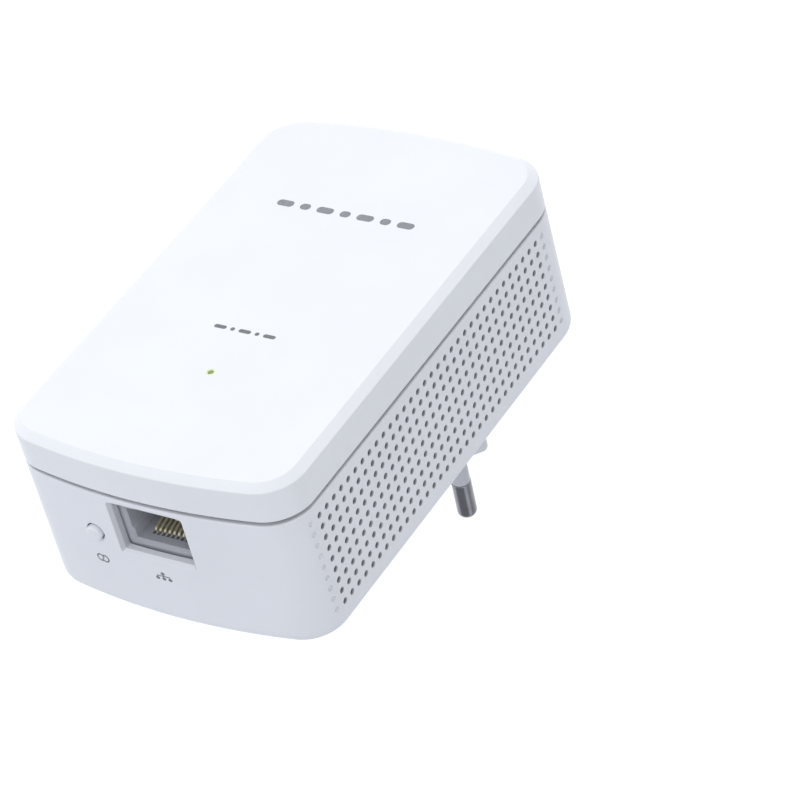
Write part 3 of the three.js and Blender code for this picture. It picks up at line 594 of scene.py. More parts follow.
def board_laminate(name):
    """Green solder mask over copper tracks on woven glass."""
    n = Nodes(name)
    black, grey, white = (0, 0, 0, 1), (0.15, 0.15, 0.15, 1), (1, 1, 1, 1)
    tracks = n.add("ShaderNodeTexBrick", Scale=160.0, offset=0.35, Mortar_Size=0.03, Color1=black)
    tracks.inputs["Color2"].default_value = grey
    tracks.inputs["Mortar"].default_value = white
    turned = n.add("ShaderNodeMapping", Rotation=(math.radians(90), 0, 0))
    n.link(n.coordinates, "Object", turned, "Vector")
    n.link(turned, "Vector", tracks, "Vector")
    weave = n.noise(1400.0, detail=1.0)
    cloud = n.noise(90.0, detail=2.0)
    mask = n.between(cloud, (0.008, 0.085, 0.03), (0.012, 0.125, 0.045))
    n.colour(n.mixed(n.ranged(tracks, "Color", 0, 1, 0, 0.7), mask, (0.03, 0.22, 0.08)))
    n.roughness(weave, 0.28, 0.45)
    n.bump([(tracks, "Color", 0.4, 0.03 * MM), (weave, "Fac", 0.2, 0.02 * MM)])
    return n.material


def banded(name, colour, band_colour, scale, axis, rough, metallic=0.0):
    """A wound or finned surface with bands across one axis."""
    n = Nodes(name)
    bands = n.add("ShaderNodeTexWave", Scale=scale, Distortion=0.6, Detail=1.0, bands_direction=axis)
    n.link(n.coordinates, "Object", bands, "Vector")
    patches = n.noise(300.0, detail=2.0)
    grain = n.noise(3000.0, detail=2.0)
    base = n.between(patches, shade(colour, 0.88), shade(colour, 1.08))
    n.colour(n.between(bands, base, band_colour, 0.4, 0.9, 0.6))
    n.set("Metallic", metallic)
    n.roughness(grain, rough - 0.08, rough + 0.08)
    n.bump([(bands, "Fac", 0.5, 0.05 * MM), (grain, "Fac", 0.2, 0.02 * MM)])
    return n.material


def clear_material(name, colour, rough):
    """Clear plastic or glass with flow lines and a faint haze."""
    n = Nodes(name)
    haze = n.noise(700.0, detail=2.0)
    flow = n.noise(150.0, detail=2.0)
    n.colour(n.between(haze, shade(colour, 0.94), colour))
    n.set("Transmission Weight", 0.6)
    n.set("IOR", 1.49)
    n.roughness(haze, rough, rough + 0.1)
    n.bump([(flow, "Fac", 0.2, 0.02 * MM)])
    return n.material


def lit_lens(name, colour, glow, strength):
    """Tinted plastic with a light behind it and a frosted face."""
    n = Nodes(name)
    frost = n.noise(2600.0, detail=2.0)
    n.colour(n.between(frost, shade(colour, 0.85), colour))
    n.set("Emission Color", (*glow, 1))
    n.set("Emission Strength", strength)
    n.roughness(frost, 0.2, 0.35)
    n.bump([(frost, "Fac", 0.3, 0.01 * MM)])
    return n.material


WHITE = (0.835, 0.85, 0.865)
HOUSING_WHITE = (0.815, 0.828, 0.85)
LIGHT_GLOW = ((0, FACE_Y, LIGHT_Z), 0.55 * MM, 1.3 * MM, (0.72, 0.86, 0.34))

PLASTICS = {
    "cover_plastic": dict(colour=WHITE, rough=0.34, depth=0.012, spread=0.014, glow=LIGHT_GLOW),
    "housing_plastic": dict(colour=HOUSING_WHITE, rough=0.4, depth=0.02, spread=0.02),
    # the plug's and the sleeves' own light grey is darkened further: painted shade for the case's shadow on
    # the plug
    "plug_plastic": dict(colour=(0.7, 0.712, 0.738), rough=0.36, depth=0.014),
    "sleeve_plastic": dict(colour=(0.55, 0.565, 0.6), rough=0.34, depth=0.004),
    "button_plastic": dict(colour=HOUSING_WHITE, rough=0.34, depth=0.01),
    "jack_plastic": dict(colour=(0.46, 0.47, 0.5), rough=0.42, depth=0.015, spread=0.08),
    "black_plastic": dict(colour=(0.018, 0.019, 0.021), rough=0.45, spread=0.15),
    "ferrite": dict(colour=(0.045, 0.045, 0.05), rough=0.62, depth=0.05, spread=0.2),
    "film_case": dict(colour=(0.62, 0.38, 0.03), rough=0.4, spread=0.06),
    "ceramic_coat": dict(colour=(0.03, 0.13, 0.38), rough=0.4, depth=0.05, spread=0.1),
    "label_foil": dict(colour=(0.62, 0.635, 0.66), rough=0.5, depth=0.006, spread=0.02),
    "live_insulation": dict(colour=(0.26, 0.03, 0.02), rough=0.45, spread=0.05),
    "neutral_insulation": dict(colour=(0.03, 0.07, 0.3), rough=0.45, spread=0.05),
}
finishes = {slot: moulded_plastic(slot.replace("_", " "), **values) for slot, values in PLASTICS.items()}
finishes |= {
    "pin_metal": turned_metal("pin nickel", (0.38, 0.385, 0.4), 0.21, (1.0, 70.0, 1.0), depth=0.0015),
    "contact_gold": turned_metal("contact gold", (0.88, 0.82, 0.6), 0.58, (60.0, 1.0, 1.0)),
    "screw_steel": turned_metal("screw steel", (0.56, 0.57, 0.58), 0.3, (1.0, 60.0, 1.0)),
    "crystal_can": turned_metal("crystal can", (0.58, 0.58, 0.6), 0.25, (60.0, 1.0, 1.0)),
    "board_laminate": board_laminate("board laminate"),
    "winding_tape": banded("winding tape", (0.62, 0.42, 0.05), (0.36, 0.22, 0.02), 180.0, "Z", 0.4),
    "capacitor_sleeve": banded("capacitor sleeve", (0.03, 0.045, 0.12), (0.012, 0.02, 0.06), 30.0, "Y", 0.35),
    "sink_aluminium": banded("sink aluminium", (0.6, 0.61, 0.62), (0.5, 0.51, 0.52), 220.0, "Z", 0.38, 1.0),
    "fuse_glass": clear_material("fuse glass", (0.78, 0.84, 0.84), 0.06),
    "light_guide": lit_lens("light guide", (0.24, 0.3, 0.05), (0.5, 0.8, 0.1), 0.12),
    "led_lens": lit_lens("led lens", (0.4, 0.6, 0.2), (0.5, 1.0, 0.15), 0.4),
}
# painted shade: the vents' hole walls get a darker plastic, which darkens further with depth
VENT_PAINTED_SHADE = (HALF_WIDTH - VENT_EDGE, HALF_WIDTH - VENT_SHADE, (0.3, 0.305, 0.32))
vent_painted_shade = moulded_plastic("vent painted shade", (0.7, 0.71, 0.735), rough=0.5, deep=VENT_PAINTED_SHADE)
# painted shade: the side walls of the LAN window are darker than the white plastic
window_painted_shade = moulded_plastic("window painted shade", (0.585, 0.595, 0.615), rough=0.45)
# painted shade: the faces seen down the groove between cover and housing are darker
groove_painted_shade = moulded_plastic("groove painted shade", (0.38, 0.388, 0.405), rough=0.5)
cover_ink = printed_ink("cover ink", (0.24, 0.25, 0.265))
dark_ink = printed_ink("dark ink", (0.16, 0.165, 0.18))
sign_ink = printed_ink("sign ink", (0.2, 0.21, 0.23))


def complete(piece, slot, body="case", replaces=(), material=None, others=()):
    """Shades a piece, gives it its finish and makes it ride on its body.
    others are pairs: another material, and a test that says which faces have it."""
    mesh = piece.data
    mesh.materials.clear()
    mesh.materials.append(material or finishes[slot])
    indices = [0] * len(mesh.polygons)
    for number, (other, test) in enumerate(others, 1):
        mesh.materials.append(other)
        indices = [number if test(face) else index for index, face in zip(indices, mesh.polygons)]
    mesh.polygons.foreach_set("material_index", indices)
    mesh.polygons.foreach_set("use_smooth", [True] * len(mesh.polygons))
    mesh.set_sharp_from_angle(angle=SHARP)
    normals = piece.modifiers.new("normals", "WEIGHTED_NORMAL")
    normals.keep_sharp = True
    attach(piece, body)
    if replaces:
        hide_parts(*replaces)
    return piece


# ---- front cover
def make_cover():
    """The face, bevel and side band, with the tongue that enters the housing."""
    inner_edge = TONGUE_INSET + TONGUE_THICKNESS
    lip_y = RIM_Y - LIP_CLEARANCE
    profile = rounded_path([
        (4.0 * MM, FACE_Y, 0),
        (CHAMFER_INSET, FACE_Y, 0.35 * MM),
        (0, FRONT_Y + CHAMFER_DEPTH, 0.3 * MM),
        (0, COVER_RIM_Y, 0.15 * MM),
        (LIP_INSET, COVER_RIM_Y, 0),
        (LIP_INSET, lip_y, 0),
        (TONGUE_INSET, lip_y, 0),
        (TONGUE_INSET, RIM_Y + TONGUE_REACH, 0.2 * MM),
        (inner_edge, RIM_Y + TONGUE_REACH, 0.2 * MM),
        (inner_edge, FRONT_Y + WALL, 0.3 * MM),
        (5.0 * MM, FRONT_Y + WALL, 0),
    ])
    cover = loft("cover_shell", [case_ring(inset, y) for inset, y in profile])
    # the tongue leaves room for the LAN socket
    reach = jack_high.x + 2 * GAP
    deep = (jack_low.y - 2 * GAP, RIM_Y + 2 * TONGUE_REACH)
    tall = (LOW_END_Z + TONGUE_INSET - GAP / 2, LOW_END_Z + 2 * TONGUE_INSET + 1 * MM)
    boolean(cover, box_solid("notch", (-reach, reach), deep, tall))
    edge = LIGHT_HOLE_EDGE
    hole = lathe(
        "hole",
        [
            (0, FACE_Y - edge),
            (LIGHT_HOLE_RADIUS + 2 * edge, FACE_Y - edge),
            (LIGHT_HOLE_RADIUS, FACE_Y + edge),
            (LIGHT_HOLE_RADIUS, FRONT_Y + WALL + edge),
            (0, FRONT_Y + WALL + edge),
        ],
        32,
        Matrix.Translation((0, 0, LIGHT_Z)),
    )
    boolean(cover, hole)

    # painted shade: the cover's faces in the groove get a darker plastic
    def in_the_groove(face):
        return face.center.y > COVER_RIM_Y - 0.01 * MM

    groove = [(groove_painted_shade, in_the_groove)]
    return complete(cover, "cover_plastic", replaces=["front_cover"], others=groove)


# ---- rear housing
def vent_span(first, count, pitch):
    """Where a row of vents starts and ends, with some wall to spare."""
    spare = VENT_ROW_PITCH / 2
    return first - spare, first + (count - 1) * pitch + spare


def vent_cutters(side):
    """Cutters for one side wall: through holes, and a shallow dimple column at each end."""
    holes = []
    outer = HALF_WIDTH
    for column in range(-1, VENT_COLUMNS + 1):
        dimple = column in (-1, VENT_COLUMNS)
        depth = DIMPLE_DEPTH if dimple else WALL + 0.3 * MM
        z = VENT_FIRST_COLUMN_Z + column * VENT_COLUMN_PITCH
        for row in range(VENT_ROWS):
            y = VENT_FIRST_ROW_Y + row * VENT_ROW_PITCH
            profile = [
                (0, outer + 2 * VENT_EDGE),
                (VENT_RADIUS + 3 * VENT_EDGE, outer + 2 * VENT_EDGE),
                (VENT_RADIUS, outer - VENT_EDGE),
                (VENT_RADIUS * (DIMPLE_TAPER if dimple else 1.0), outer - depth),
                (0, outer - depth - (VENT_EDGE if dimple else 0)),
            ]
            place = Matrix.Translation((0, y, z)) @ Matrix.Rotation(-side * math.radians(90), 4, "Z")
            holes.append((profile, place))
    return holes


def port_cutter():
    """The straight window and its flared mouth, with a soft lip."""
    surface = (end_surface_z(0) + end_surface_z(PORT_HALF_WIDTH)) / 2
    profile = rounded_path([
        (0, LOW_END_Z + 3 * WALL, 0),
        (0, surface + PORT_FUNNEL, 0.08 * MM),
        (PORT_FUNNEL, surface, 0.12 * MM),
        (PORT_FUNNEL + 2.0 * MM, surface - 0.8 * MM, 0),
    ], 4)

    def outline(margin):
        half_width, half_height = PORT_HALF_WIDTH + margin, PORT_HALF_HEIGHT + margin
        return rectangle(half_width, half_height, PORT_CORNER_RADIUS + margin / 2, 0, PORT_Y)

    return prism("window", outline, profile)


def screw_posts():
    """(x, z, y of the post's end) for the four board posts, from the screws' places."""
    posts = []
    for board in ("power_board", "main_board"):
        board_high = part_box(board)[1]
        for side in ("left", "right"):
            low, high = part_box(f"{board}_screw_{side}")
            posts.append(((low.x + high.x) / 2, (low.z + high.z) / 2, board_high.y + GAP))
    return posts


def make_housing():
    """The bowed box, with its posts, openings, label recess and pierced side walls."""
    rim = RIM_Y + RIM_CLEARANCE
    profile = rounded_path([
        (7.0 * MM, BACK_Y, 0),
        (0, BACK_Y, BACK_EDGE_RADIUS),
        (0, rim, 0.35 * MM),
        (WALL, rim, 0.1 * MM),
        (WALL, FLOOR_Y, 0.6 * MM),
        (6.0 * MM, FLOOR_Y, 0),
    ], 9)
    housing = loft("housing_shell", [case_ring(inset, y) for inset, y in profile])
    for x, z, y in screw_posts():
        place = Matrix.Translation((x, 0, z))
        boolean(housing, rod("post", POST_RADIUS, y, FLOOR_Y + 1 * MM, 32, place), "UNION")
        boolean(housing, rod("bore", POST_BORE_RADIUS, y - 1 * MM, FLOOR_Y - 0.6 * MM, 24, place))
    opening = [(FLOOR_Y - 1 * MM, GAP), (BACK_Y - 0.2 * MM, GAP), (BACK_Y + 0.1 * MM, GAP + 0.3 * MM)]
    boolean(housing, loft("opening", [plug_ring(-margin, y) for y, margin in opening]))
    half_width = (label_high.x - label_low.x) / 2 + GAP
    half_length = (label_high.z - label_low.z) / 2 + GAP
    label_z = (label_high.z + label_low.z) / 2
    outline = rectangle(half_width, half_length, LABEL_CORNER_RADIUS + GAP, 0, label_z)
    recess = [at_y(outline, y) for y in (label_low.y - GAP, BACK_Y + 1 * MM)]
    boolean(housing, loft("recess", recess))
    boolean(housing, port_cutter())
    surface = end_surface_z(BUTTON_X)
    hole_radius, edge = BUTTON_RADIUS + GAP, BUTTON_HOLE_EDGE
    hole = [
        (0, surface - 1 * MM),
        (hole_radius + edge + 1 * MM, surface - 1 * MM),
        (hole_radius, surface + edge),
        (hole_radius, surface + 2 * WALL),
        (0, surface + 2 * WALL),
    ]
    boolean(housing, lathe("button_hole", hole, 48, along_z(BUTTON_X, BUTTON_Y, 0)))
    vents_deep = vent_span(VENT_FIRST_ROW_Y, VENT_ROWS, VENT_ROW_PITCH)
    vents_tall = vent_span(VENT_FIRST_COLUMN_Z, VENT_COLUMNS, VENT_COLUMN_PITCH)
    inner = HALF_WIDTH - WALL - 1 * MM
    outer = HALF_WIDTH - VENT_WALL
    sides = ((inner, outer), (-outer, -inner))
    pockets = [box_solid("pocket", across, vents_deep, vents_tall) for across in sides]
    boolean(housing, join("pockets", pockets))
    boolean(housing, many_lathes("vents", vent_cutters(1) + vent_cutters(-1), VENT_SIDES))

    # the faces that take the painted shade of the vents
    def in_a_vent(face):
        x, y, z = face.center
        deep = HALF_WIDTH - VENT_WALL - VENT_EDGE < abs(x) < HALF_WIDTH - VENT_EDGE
        inside = vents_deep[0] < y < vents_deep[1] and vents_tall[0] < z < vents_tall[1]
        return deep and inside and abs(face.normal.x) < 0.5

    # the faces that take the painted shade of the window
    def beside_the_window(face):
        x, y, z = face.center
        near_x = abs(x) < PORT_HALF_WIDTH + 2 * PORT_FUNNEL
        near_y = abs(y - PORT_Y) < PORT_HALF_HEIGHT + PORT_FUNNEL
        return near_x and near_y and z < LOW_END_Z + 3 * WALL and abs(face.normal.x) > 0.5

    # painted shade on the vents' walls and on the window's sides
    darker = [(vent_painted_shade, in_a_vent), (window_painted_shade, beside_the_window)]
    return complete(housing, "housing_plastic", replaces=["rear_housing"], others=darker)


# ---- plug
def make_plug():
    """The hollow six-sided boss on its flange, with a round collar for each pin."""
    flange_back = FLOOR_Y - GAP
    flange_front = flange_back - FLANGE_THICKNESS
    profile = rounded_path([
        (3.0 * MM, 0, 0),
        (0, 0, BOSS_FACE_ROUND),
        (0, flange_back, 0.2 * MM),
        (-FLANGE_MARGIN, flange_back, 0.2 * MM),
        (-FLANGE_MARGIN, flange_front, 0.2 * MM),
        (BOSS_SIDE_WALL, flange_front, 0.2 * MM),
        (BOSS_SIDE_WALL, -BOSS_FACE_WALL, 0.4 * MM),
        (3.2 * MM, -BOSS_FACE_WALL, 0),
    ], 7)
    plug = loft("plug_boss", [plug_ring(inset, y) for inset, y in profile])
    for side in (-1, 1):
        collar = rounded_path([
            (0, -1 * MM, 0),
            (COLLAR_RADIUS + 0.35 * MM, -1 * MM, 0),
            (COLLAR_RADIUS + 0.35 * MM, 0, 0),
            (COLLAR_RADIUS, 0.02 * MM, 0.3 * MM),
            (COLLAR_RADIUS, COLLAR_HEIGHT, 0.35 * MM),
            (0, COLLAR_HEIGHT, 0),
        ])
        place = Matrix.Translation((side * PIN_HALF_SPACING, 0, 0))
        boolean(plug, lathe("collar", collar, 48, place), "UNION")
        boolean(plug, rod("bore", SLEEVE_RADIUS + 0.12 * MM, -9 * MM, 9 * MM, 48, pin_place(side)))
    return complete(plug, "plug_plastic", replaces=["plug_block"])


def make_pin(side, word):
    shoulder = SLEEVE_LENGTH + 0.05 * MM
    profile = rounded_path([
        (0, -PIN_INNER_LENGTH, 0),
        (PIN_CORE_RADIUS, -PIN_INNER_LENGTH, 0.2 * MM),
        (PIN_CORE_RADIUS, shoulder, 0),
        (PIN_RADIUS, shoulder, 0.18 * MM),
        (PIN_RADIUS, PIN_LENGTH - 0.2 * MM, 1.5 * MM),
        (0.35 * MM, PIN_LENGTH, 0.3 * MM),
        (0, PIN_LENGTH, 0),
    ], 12)
    pin = lathe(f"pin_metal_{word}", profile, 48, pin_place(side))
    return complete(pin, "pin_metal", replaces=[f"plug_pin_{word}"])


def make_sleeve(side, word):
    inner = PIN_CORE_RADIUS + 0.1 * MM
    ring = 0.1 * MM
    profile = rounded_path([
        (inner, -SLEEVE_INNER_LENGTH, 0),
        (SLEEVE_RADIUS, -SLEEVE_INNER_LENGTH, 0),
        (SLEEVE_RADIUS, COLLAR_HEIGHT + ring, 0),
        (SLEEVE_RADIUS - ring, COLLAR_HEIGHT + 2 * ring, 0),
        (SLEEVE_RADIUS - ring, COLLAR_HEIGHT + 3 * ring, 0),
        (SLEEVE_RADIUS, COLLAR_HEIGHT + 4 * ring, 0),
        (SLEEVE_RADIUS, SLEEVE_LENGTH, 0.12 * MM),
        (inner, SLEEVE_LENGTH, 0),
    ], 4)
    sleeve = tube(f"sleeve_{word}", profile, 48, pin_place(side))
    return complete(sleeve, "sleeve_plastic", replaces=[f"pin_sleeve_{word}"])


# ---- LAN socket
def make_jack():
    """The socket body: a bezel, the stepped cavity with its latch notch, and the contacts' slots."""
    face, rear = jack_low.z, jack_high.z
    mid_y = (jack_low.y + jack_high.y) / 2
    half_y = (jack_high.y - jack_low.y) / 2
    half_x = jack_high.x
    jack = prism(
        "jack_shell",
        lambda m: rectangle(half_x + m, half_y + m, 0.3 * MM, 0, mid_y, 3),
        [(0, face + BEZEL_STEP), (0, rear)],
    )
    bezel_x, bezel_y = PORT_HALF_WIDTH - GAP, PORT_HALF_HEIGHT - GAP
    bezel = prism(
        "bezel",
        lambda m: rectangle(bezel_x + m, bezel_y + m, BEZEL_CORNER_RADIUS + m, 0, PORT_Y, 5),
        [(-0.08 * MM, face), (0, face + 0.08 * MM), (0, face + 1 * MM)],
    )
    boolean(jack, bezel, "UNION")
    top = CAVITY_FLOOR_Y - CAVITY_HEIGHT
    bezel_low_y = PORT_Y + bezel_y - 0.35 * MM

    def cavity_outline(margin):
        """Both sides of the cavity, from the middle of its floor round to the latch notch."""
        wide, latch = CAVITY_HALF_WIDTH + margin, LATCH_HALF_WIDTH + margin
        floor, roof = CAVITY_FLOOR_Y + margin, top - margin
        ledge = CAVITY_FLOOR_Y - 2.0 * MM
        half = [
            (wide, floor),
            (wide, ledge),
            (wide + CAVITY_STEP, ledge - CAVITY_STEP),
            (wide + CAVITY_STEP, roof),
            (latch + LATCH_STEP_WIDTH, roof),
            (latch + LATCH_STEP_WIDTH, roof - LATCH_STEP_HEIGHT),
            (latch, roof - LATCH_STEP_HEIGHT),
            (latch, roof - LATCH_HEIGHT + margin),
        ]
        outline = [(-wide, floor)] + half + [(-x, y) for x, y in reversed(half[1:])]
        return [(x, min(y, bezel_low_y)) for x, y in outline]

    mouth = [(LEAD_IN + 0.3 * MM, face - 0.3 * MM), (0, face + LEAD_IN), (0, face + CAVITY_DEPTH)]
    boolean(jack, prism("cavity", cavity_outline, mouth))
    trough_y = CAVITY_FLOOR_Y + CONTACT_TROUGH
    slots = []
    for index in range(CONTACT_COUNT):
        x = (index - (CONTACT_COUNT - 1) / 2) * CONTACT_PITCH
        across = (x - CONTACT_SLOT_HALF_WIDTH, x + CONTACT_SLOT_HALF_WIDTH)
        tall = (contact_low.z - 2 * GAP, face + CAVITY_DEPTH + 1 * MM)
        slots.append(box_solid("slot", across, (CAVITY_FLOOR_Y - 1 * MM, trough_y), tall))
    boolean(jack, join("slots", slots))
    inset = 0.4 * MM
    across = (-CAVITY_HALF_WIDTH + inset, CAVITY_HALF_WIDTH - inset)
    tall = (face + CAVITY_DEPTH - 1 * MM, rear + 1 * MM)
    boolean(jack, box_solid("bay", across, (top + inset, trough_y), tall))
    return complete(jack, "jack_plastic", replaces=["lan_jack_housing"])


def sweep(name, path, radius, sides=12):
    """A round wire along a path in one plane of constant x."""
    rings = []
    for index, point in enumerate(path):
        before = path[max(index - 1, 0)]
        after = path[min(index + 1, len(path) - 1)]
        ahead = (after - before).normalized()
        across = Vector((1, 0, 0))
        out = ahead.cross(across).normalized()
        ring = []
        for i in range(sides):
            a = 2 * math.pi * i / sides
            ring.append(point + radius * (math.cos(a) * across + math.sin(a) * out))
        rings.append(ring)
    return loft(name, rings)


def make_contact(index):
    """A sprung wire: along the floor, up at the front and back to its free end."""
    low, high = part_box(f"lan_contact_{index}")
    x = (low.x + high.x) / 2
    r = CONTACT_WIRE_RADIUS
    root_z, front_z = high.z, low.z
    floor_y, free_y = high.y, low.y
    free_z = high.z - 1.6 * MM
    corners = [
        (root_z, floor_y - r, 0),
        (front_z + r + 0.25 * MM, floor_y - r, 0.35 * MM),
        (front_z + r, floor_y - 0.9 * MM, 0.35 * MM),
        (free_z, free_y + r, 0),
    ]
    path = [Vector((x, y, z)) for z, y in rounded_path(corners, 6)]
    wire = sweep(f"contact_wire_{index}", path, r)
    return complete(wire, "contact_gold", replaces=[f"lan_contact_{index}"])


# ---- button and light
def make_button():
    flange_z = end_surface_z(BUTTON_X) + WALL + 0.5 * MM
    flange_end = flange_z + BUTTON_FLANGE_DEPTH
    dome = 0.06 * MM
    profile = rounded_path([
        (0, cap_low.z, 0),
        (BUTTON_RADIUS * 0.55, cap_low.z + dome / 3, 0),
        (BUTTON_RADIUS, cap_low.z + dome, 0.4 * MM),
        (BUTTON_RADIUS, flange_z, 0),
        (BUTTON_FLANGE_RADIUS, flange_z, 0),
        (BUTTON_FLANGE_RADIUS, flange_end, 0),
        (BUTTON_FOOT_RADIUS, flange_end, 0),
        (BUTTON_FOOT_RADIUS, cap_high.z, 0),
        (0, cap_high.z, 0),
    ], 8)
    cap = lathe("pair_cap", profile, 64, along_z(BUTTON_X, BUTTON_Y, 0))
    return complete(cap, "button_plastic", body="button", replaces=["pair_button"])


def make_light():
    step_y = FRONT_Y + WALL + GAP
    profile = rounded_path([
        (0, FRONT_Y + LIGHT_RECESS, 0),
        (LIGHT_TIP_RADIUS, FRONT_Y + LIGHT_RECESS + 0.05 * MM, 0.1 * MM),
        (LIGHT_TIP_RADIUS, step_y, 0),
        (LIGHT_PIPE_RADIUS, step_y, 0.2 * MM),
        (LIGHT_PIPE_RADIUS, light_high.y, 0.2 * MM),
        (0, light_high.y, 0),
    ], 5)
    light = lathe("light_tip", profile, 40, Matrix.Translation((0, 0, LIGHT_Z)))
    return complete(light, "light_guide", replaces=["light_pipe"])


# ---- printing
def ink_shapes(name, outlines, place, material, slot):
    """Thin slabs of ink. Each outline is (u, v) points, and place(u, v, depth) is a point on the surface."""
    bm = bmesh.new()
    for outline in outlines:
        top = [bm.verts.new(place(u, v, INK)) for u, v in outline]
        bottom = [bm.verts.new(place(u, v, -INK)) for u, v in outline]
        bm.faces.new(top)
        bm.faces.new(bottom[::-1])
        skin(bm, top, bottom)
    return complete(new_object(name, bm), slot, material=material)


def curved_stroke(centre, radius, thickness, start, end, steps=28):
    """The outline of a curved stroke."""
    outer = arc_points(*centre, radius + thickness / 2, start, end, steps)
    inner = arc_points(*centre, radius - thickness / 2, end, start, steps)
    return outer + inner


def bar(u, v, half_width, half_height):
    """A rounded bar."""
    radius = min(half_width, half_height) * 0.95
    return [(p.x, p.y) for p in rectangle(half_width, half_height, radius, u, v, 5)]


def square_bar(u_low, u_high, v_low, v_high):
    return [(u_low, v_low), (u_high, v_low), (u_high, v_high), (u_low, v_high)]


def bars_in_a_row(widths, gap, v, half_height):
    """Rounded bars with their middle at u = 0. widths and gap are in millimetres."""
    u = -(sum(widths) + gap * (len(widths) - 1)) / 2
    bars = []
    for width in widths:
        bars.append(bar((u + width / 2) * MM, v, width / 2 * MM, half_height))
        u += width + gap
    return bars


def on_cover(u, v, depth):
    return Vector((u, FACE_Y - depth, v))


def on_low_end(u, v, depth):
    return Vector((u, v, end_surface_z(u) - depth))


def link_sign():
    """The button's sign: two linked rings."""
    radius, stroke = 0.75 * MM, 0.3 * MM
    left = BUTTON_X - 0.5 * MM - radius / 2
    right = left + radius + 0.35 * MM
    gap = math.radians(24)
    start, end = gap * 2.2, 2 * math.pi - gap * 0.2
    return [
        curved_stroke((left, SIGN_Y), radius, stroke, start, end),
        curved_stroke((right, SIGN_Y), radius, stroke, math.pi + start, math.pi + end),
    ]


def network_sign():
    """The socket's sign: one box joined to three."""
    box, line, spread, rise = 0.42 * MM, 0.11 * MM, 1.35 * MM, 0.62 * MM
    top, low = SIGN_Y - rise, SIGN_Y + rise
    columns = (-spread, 0, spread)
    shapes = [bar(0, top, box, box * 0.75)]
    shapes += [bar(u, low, box, box * 0.75) for u in columns]
    shapes.append(square_bar(-spread - line, spread + line, SIGN_Y - line, SIGN_Y + line))
    shapes += [square_bar(u - line, u + line, SIGN_Y + line, low - box * 0.7) for u in columns]
    shapes.append(square_bar(-line, line, top + box * 0.7, SIGN_Y - line))
    return shapes


def make_marks():
    """Plain bars and signs where the real cover and low end have lettering."""
    maker = bars_in_a_row(MAKER_BARS, MAKER_GAP, MAKER_MARK_Z, 0.85 * MM)
    ink_shapes("maker_bars", maker, on_cover, cover_ink, "cover_plastic")
    model = bars_in_a_row(MODEL_BARS, MODEL_GAP, MODEL_MARK_Z, 0.45 * MM)
    ink_shapes("model_bars", model, on_cover, dark_ink, "cover_plastic")
    ink_shapes("link_sign", link_sign(), on_low_end, sign_ink, "housing_plastic")
    ink_shapes("network_sign", network_sign(), on_low_end, sign_ink, "housing_plastic")


def make_label():
    """The foil on the back: a thin sheet with a softened edge, and a printed frame, bars and a dot."""
    half_x = (label_high.x - label_low.x) / 2
    half_z = (label_high.z - label_low.z) / 2
    mid_z = (label_high.z + label_low.z) / 2
    top_y = label_high.y - INK
    rings = []
    for margin, y in ((0, label_low.y), (0, top_y - 0.03 * MM), (-0.03 * MM, top_y)):
        outline = rectangle(half_x + margin, half_z + margin, LABEL_CORNER_RADIUS + margin, 0, mid_z)
        rings.append(at_y(outline, y))
    complete(loft("label_sheet", rings), "label_foil", replaces=["rating_label"])

    def on_label(u, v, depth):
        return Vector((u, top_y + depth, v))

    line = 0.1 * MM
    frame_x, frame_z = half_x - 1.6 * MM, half_z - 1.6 * MM
    shapes = []
    for side in (-1, 1):
        shapes.append(bar(side * frame_x, mid_z, line, frame_z + line))
        shapes.append(bar(0, mid_z + side * frame_z, frame_x - 2 * line, line))
    for row, length in enumerate(LABEL_LINES):
        z = mid_z + frame_z - (4.2 + 2.6 * row) * MM
        half = length / 2 * MM
        shapes.append(bar(frame_x - 2.5 * MM - half, z, half, 0.38 * MM))
    dot = (-frame_x + 6 * MM, mid_z - frame_z + 6.5 * MM)
    shapes.append(arc_points(*dot, 3.4 * MM, 0, 2 * math.pi * 47 / 48, 47))
    ink_shapes("label_print", shapes, on_label, sign_ink, "label_foil")


# ---- build
make_cover()
make_housing()
make_plug()
for pin_side, pin_word in ((-1, "left"), (1, "right")):
    make_pin(pin_side, pin_word)
    make_sleeve(pin_side, pin_word)
make_jack()
for contact_number in range(1, CONTACT_COUNT + 1):
    make_contact(contact_number)
make_button()
make_light()
make_marks()
make_label()

# the CAD nodes that stay take the finish of their own material slot
slot_of = {part["node"]: part["material_slot"] for part in frame["record"]["subparts"]}
for node_name, node in frame["nodes"].items():
    if node.hide_render:
        continue
    finish_name = slot_of[node_name]
    if not node.material_slots:
        node.data.materials.append(finishes[finish_name])
    for material_slot in node.material_slots:
        material_slot.material = finishes[finish_name]


# ---- floor, light and world
FLOOR_DROP = 0.66
FLAG_DIRECTION = (0.02, 0.64, -0.76)
FLAG_DISTANCE = 0.4
FLAG_RADIUS = 0.3
SKY_DIRECTION = (-0.7, -0.22, 0.6)
SKY_COLOUR = (0.96, 0.98, 1.03, 1)
SKY_DARK, SKY_BRIGHT = 0.38, 1.16
HORIZON_STRENGTH, BACKDROP_STRENGTH = 0.78, 1.12
LIGHT_DISTANCE = 1.3
LIGHT_COLOUR = (1.0, 0.985, 0.95)
LIGHTS = (  # name, direction from the adapter, size, power
    ("key", (-0.5, -0.86, 0.08), 0.9, 3.4),
    ("fill", (0.45, -0.6, -0.65), 1.0, 5.0),
)


def stage_disc(name, radius, segments, z, noise_scale, detail, dark, pale):
    """A flat disc with a matt, slightly uneven finish, which isn't part of the object."""
    bm = bmesh.new()
    bmesh.ops.create_circle(bm, cap_ends=True, segments=segments, radius=radius)
    bmesh.ops.translate(bm, verts=bm.verts, vec=(0, 0, z))
    disc = new_object(name, bm)
    n = Nodes(name)
    n.colour(n.between(n.noise(noise_scale, detail=detail), dark, pale))
    n.set("Roughness", 0.9)
    disc.data.materials.append(n.material)
    return disc


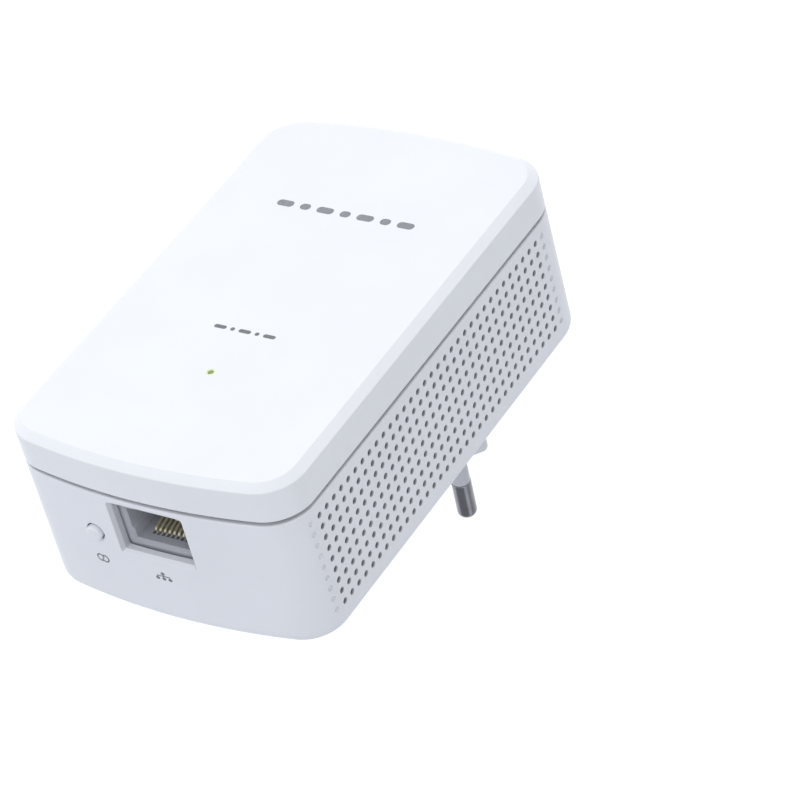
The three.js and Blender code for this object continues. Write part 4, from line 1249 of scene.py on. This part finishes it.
def make_flag():
    """A dark card behind and below the plug, which gives the metal pins something to reflect."""
    card = stage_disc("flag", FLAG_RADIUS, 64, 0, 900.0, 1.0, (0.22, 0.225, 0.235), (0.26, 0.265, 0.275))
    aim = Vector(FLAG_DIRECTION).normalized()
    card.rotation_mode = "QUATERNION"
    card.rotation_quaternion = aim.to_track_quat("Z", "Y")
    card.location = aim * FLAG_DISTANCE
    card.visible_camera = False
    card.visible_diffuse = False
    card.visible_shadow = False


def make_lamp(name, direction, size, power):
    """A round soft light that points at the middle of the case."""
    data = bpy.data.lights.new(name, "AREA")
    data.shape = "DISK"
    data.size = size
    data.energy = power
    data.color = LIGHT_COLOUR
    light = bpy.data.objects.new(name, data)
    aim = Vector(direction).normalized()
    light.location = Vector((0, (FRONT_Y + BACK_Y) / 2, CENTRE_Z)) + aim * LIGHT_DISTANCE
    light.rotation_mode = "QUATERNION"
    light.rotation_quaternion = aim.to_track_quat("Z", "Y")
    bpy.context.scene.collection.objects.link(light)


def make_world():
    """Soft light all round, brighter on the upper left.
    What the camera sees of it is a plain backdrop, from the floor's tone up to white."""
    world = bpy.data.worlds.new("studio")
    world.use_nodes = True
    bpy.context.scene.world = world
    n = Tree(world.node_tree)
    place = n.add("ShaderNodeTexCoord")
    facing = n.add("ShaderNodeVectorMath", operation="DOT_PRODUCT")
    facing.inputs[1].default_value = SKY_DIRECTION
    n.link(place, "Generated", facing, 0)
    axes = n.add("ShaderNodeSeparateXYZ")
    n.link(place, "Generated", axes, "Vector")
    strength = n.add("ShaderNodeMix", data_type="FLOAT")
    n.link(n.ranged(facing, "Value", -0.6, 0.5, SKY_DARK, SKY_BRIGHT), "Result", strength, "A")
    backdrop = n.ranged(axes, "Z", 0.15, 0.42, HORIZON_STRENGTH, BACKDROP_STRENGTH)
    n.link(backdrop, "Result", strength, "B")
    n.link(n.add("ShaderNodeLightPath"), "Is Camera Ray", strength, "Factor")
    background = n.add("ShaderNodeBackground", Color=SKY_COLOUR)
    n.link(strength, "Result", background, "Strength")
    n.link(background, "Background", n.add("ShaderNodeOutputWorld"), "Surface")


stage_disc("floor", 40, 96, LOW_END_Z - FLOOR_DROP, 1.5, 2.0, (0.76, 0.77, 0.795), (0.78, 0.79, 0.815))
make_world()
for lamp in LIGHTS:
    make_lamp(*lamp)
make_flag()

scene = bpy.context.scene
scene.view_settings.view_transform = "Standard"
scene.view_settings.look = "None"
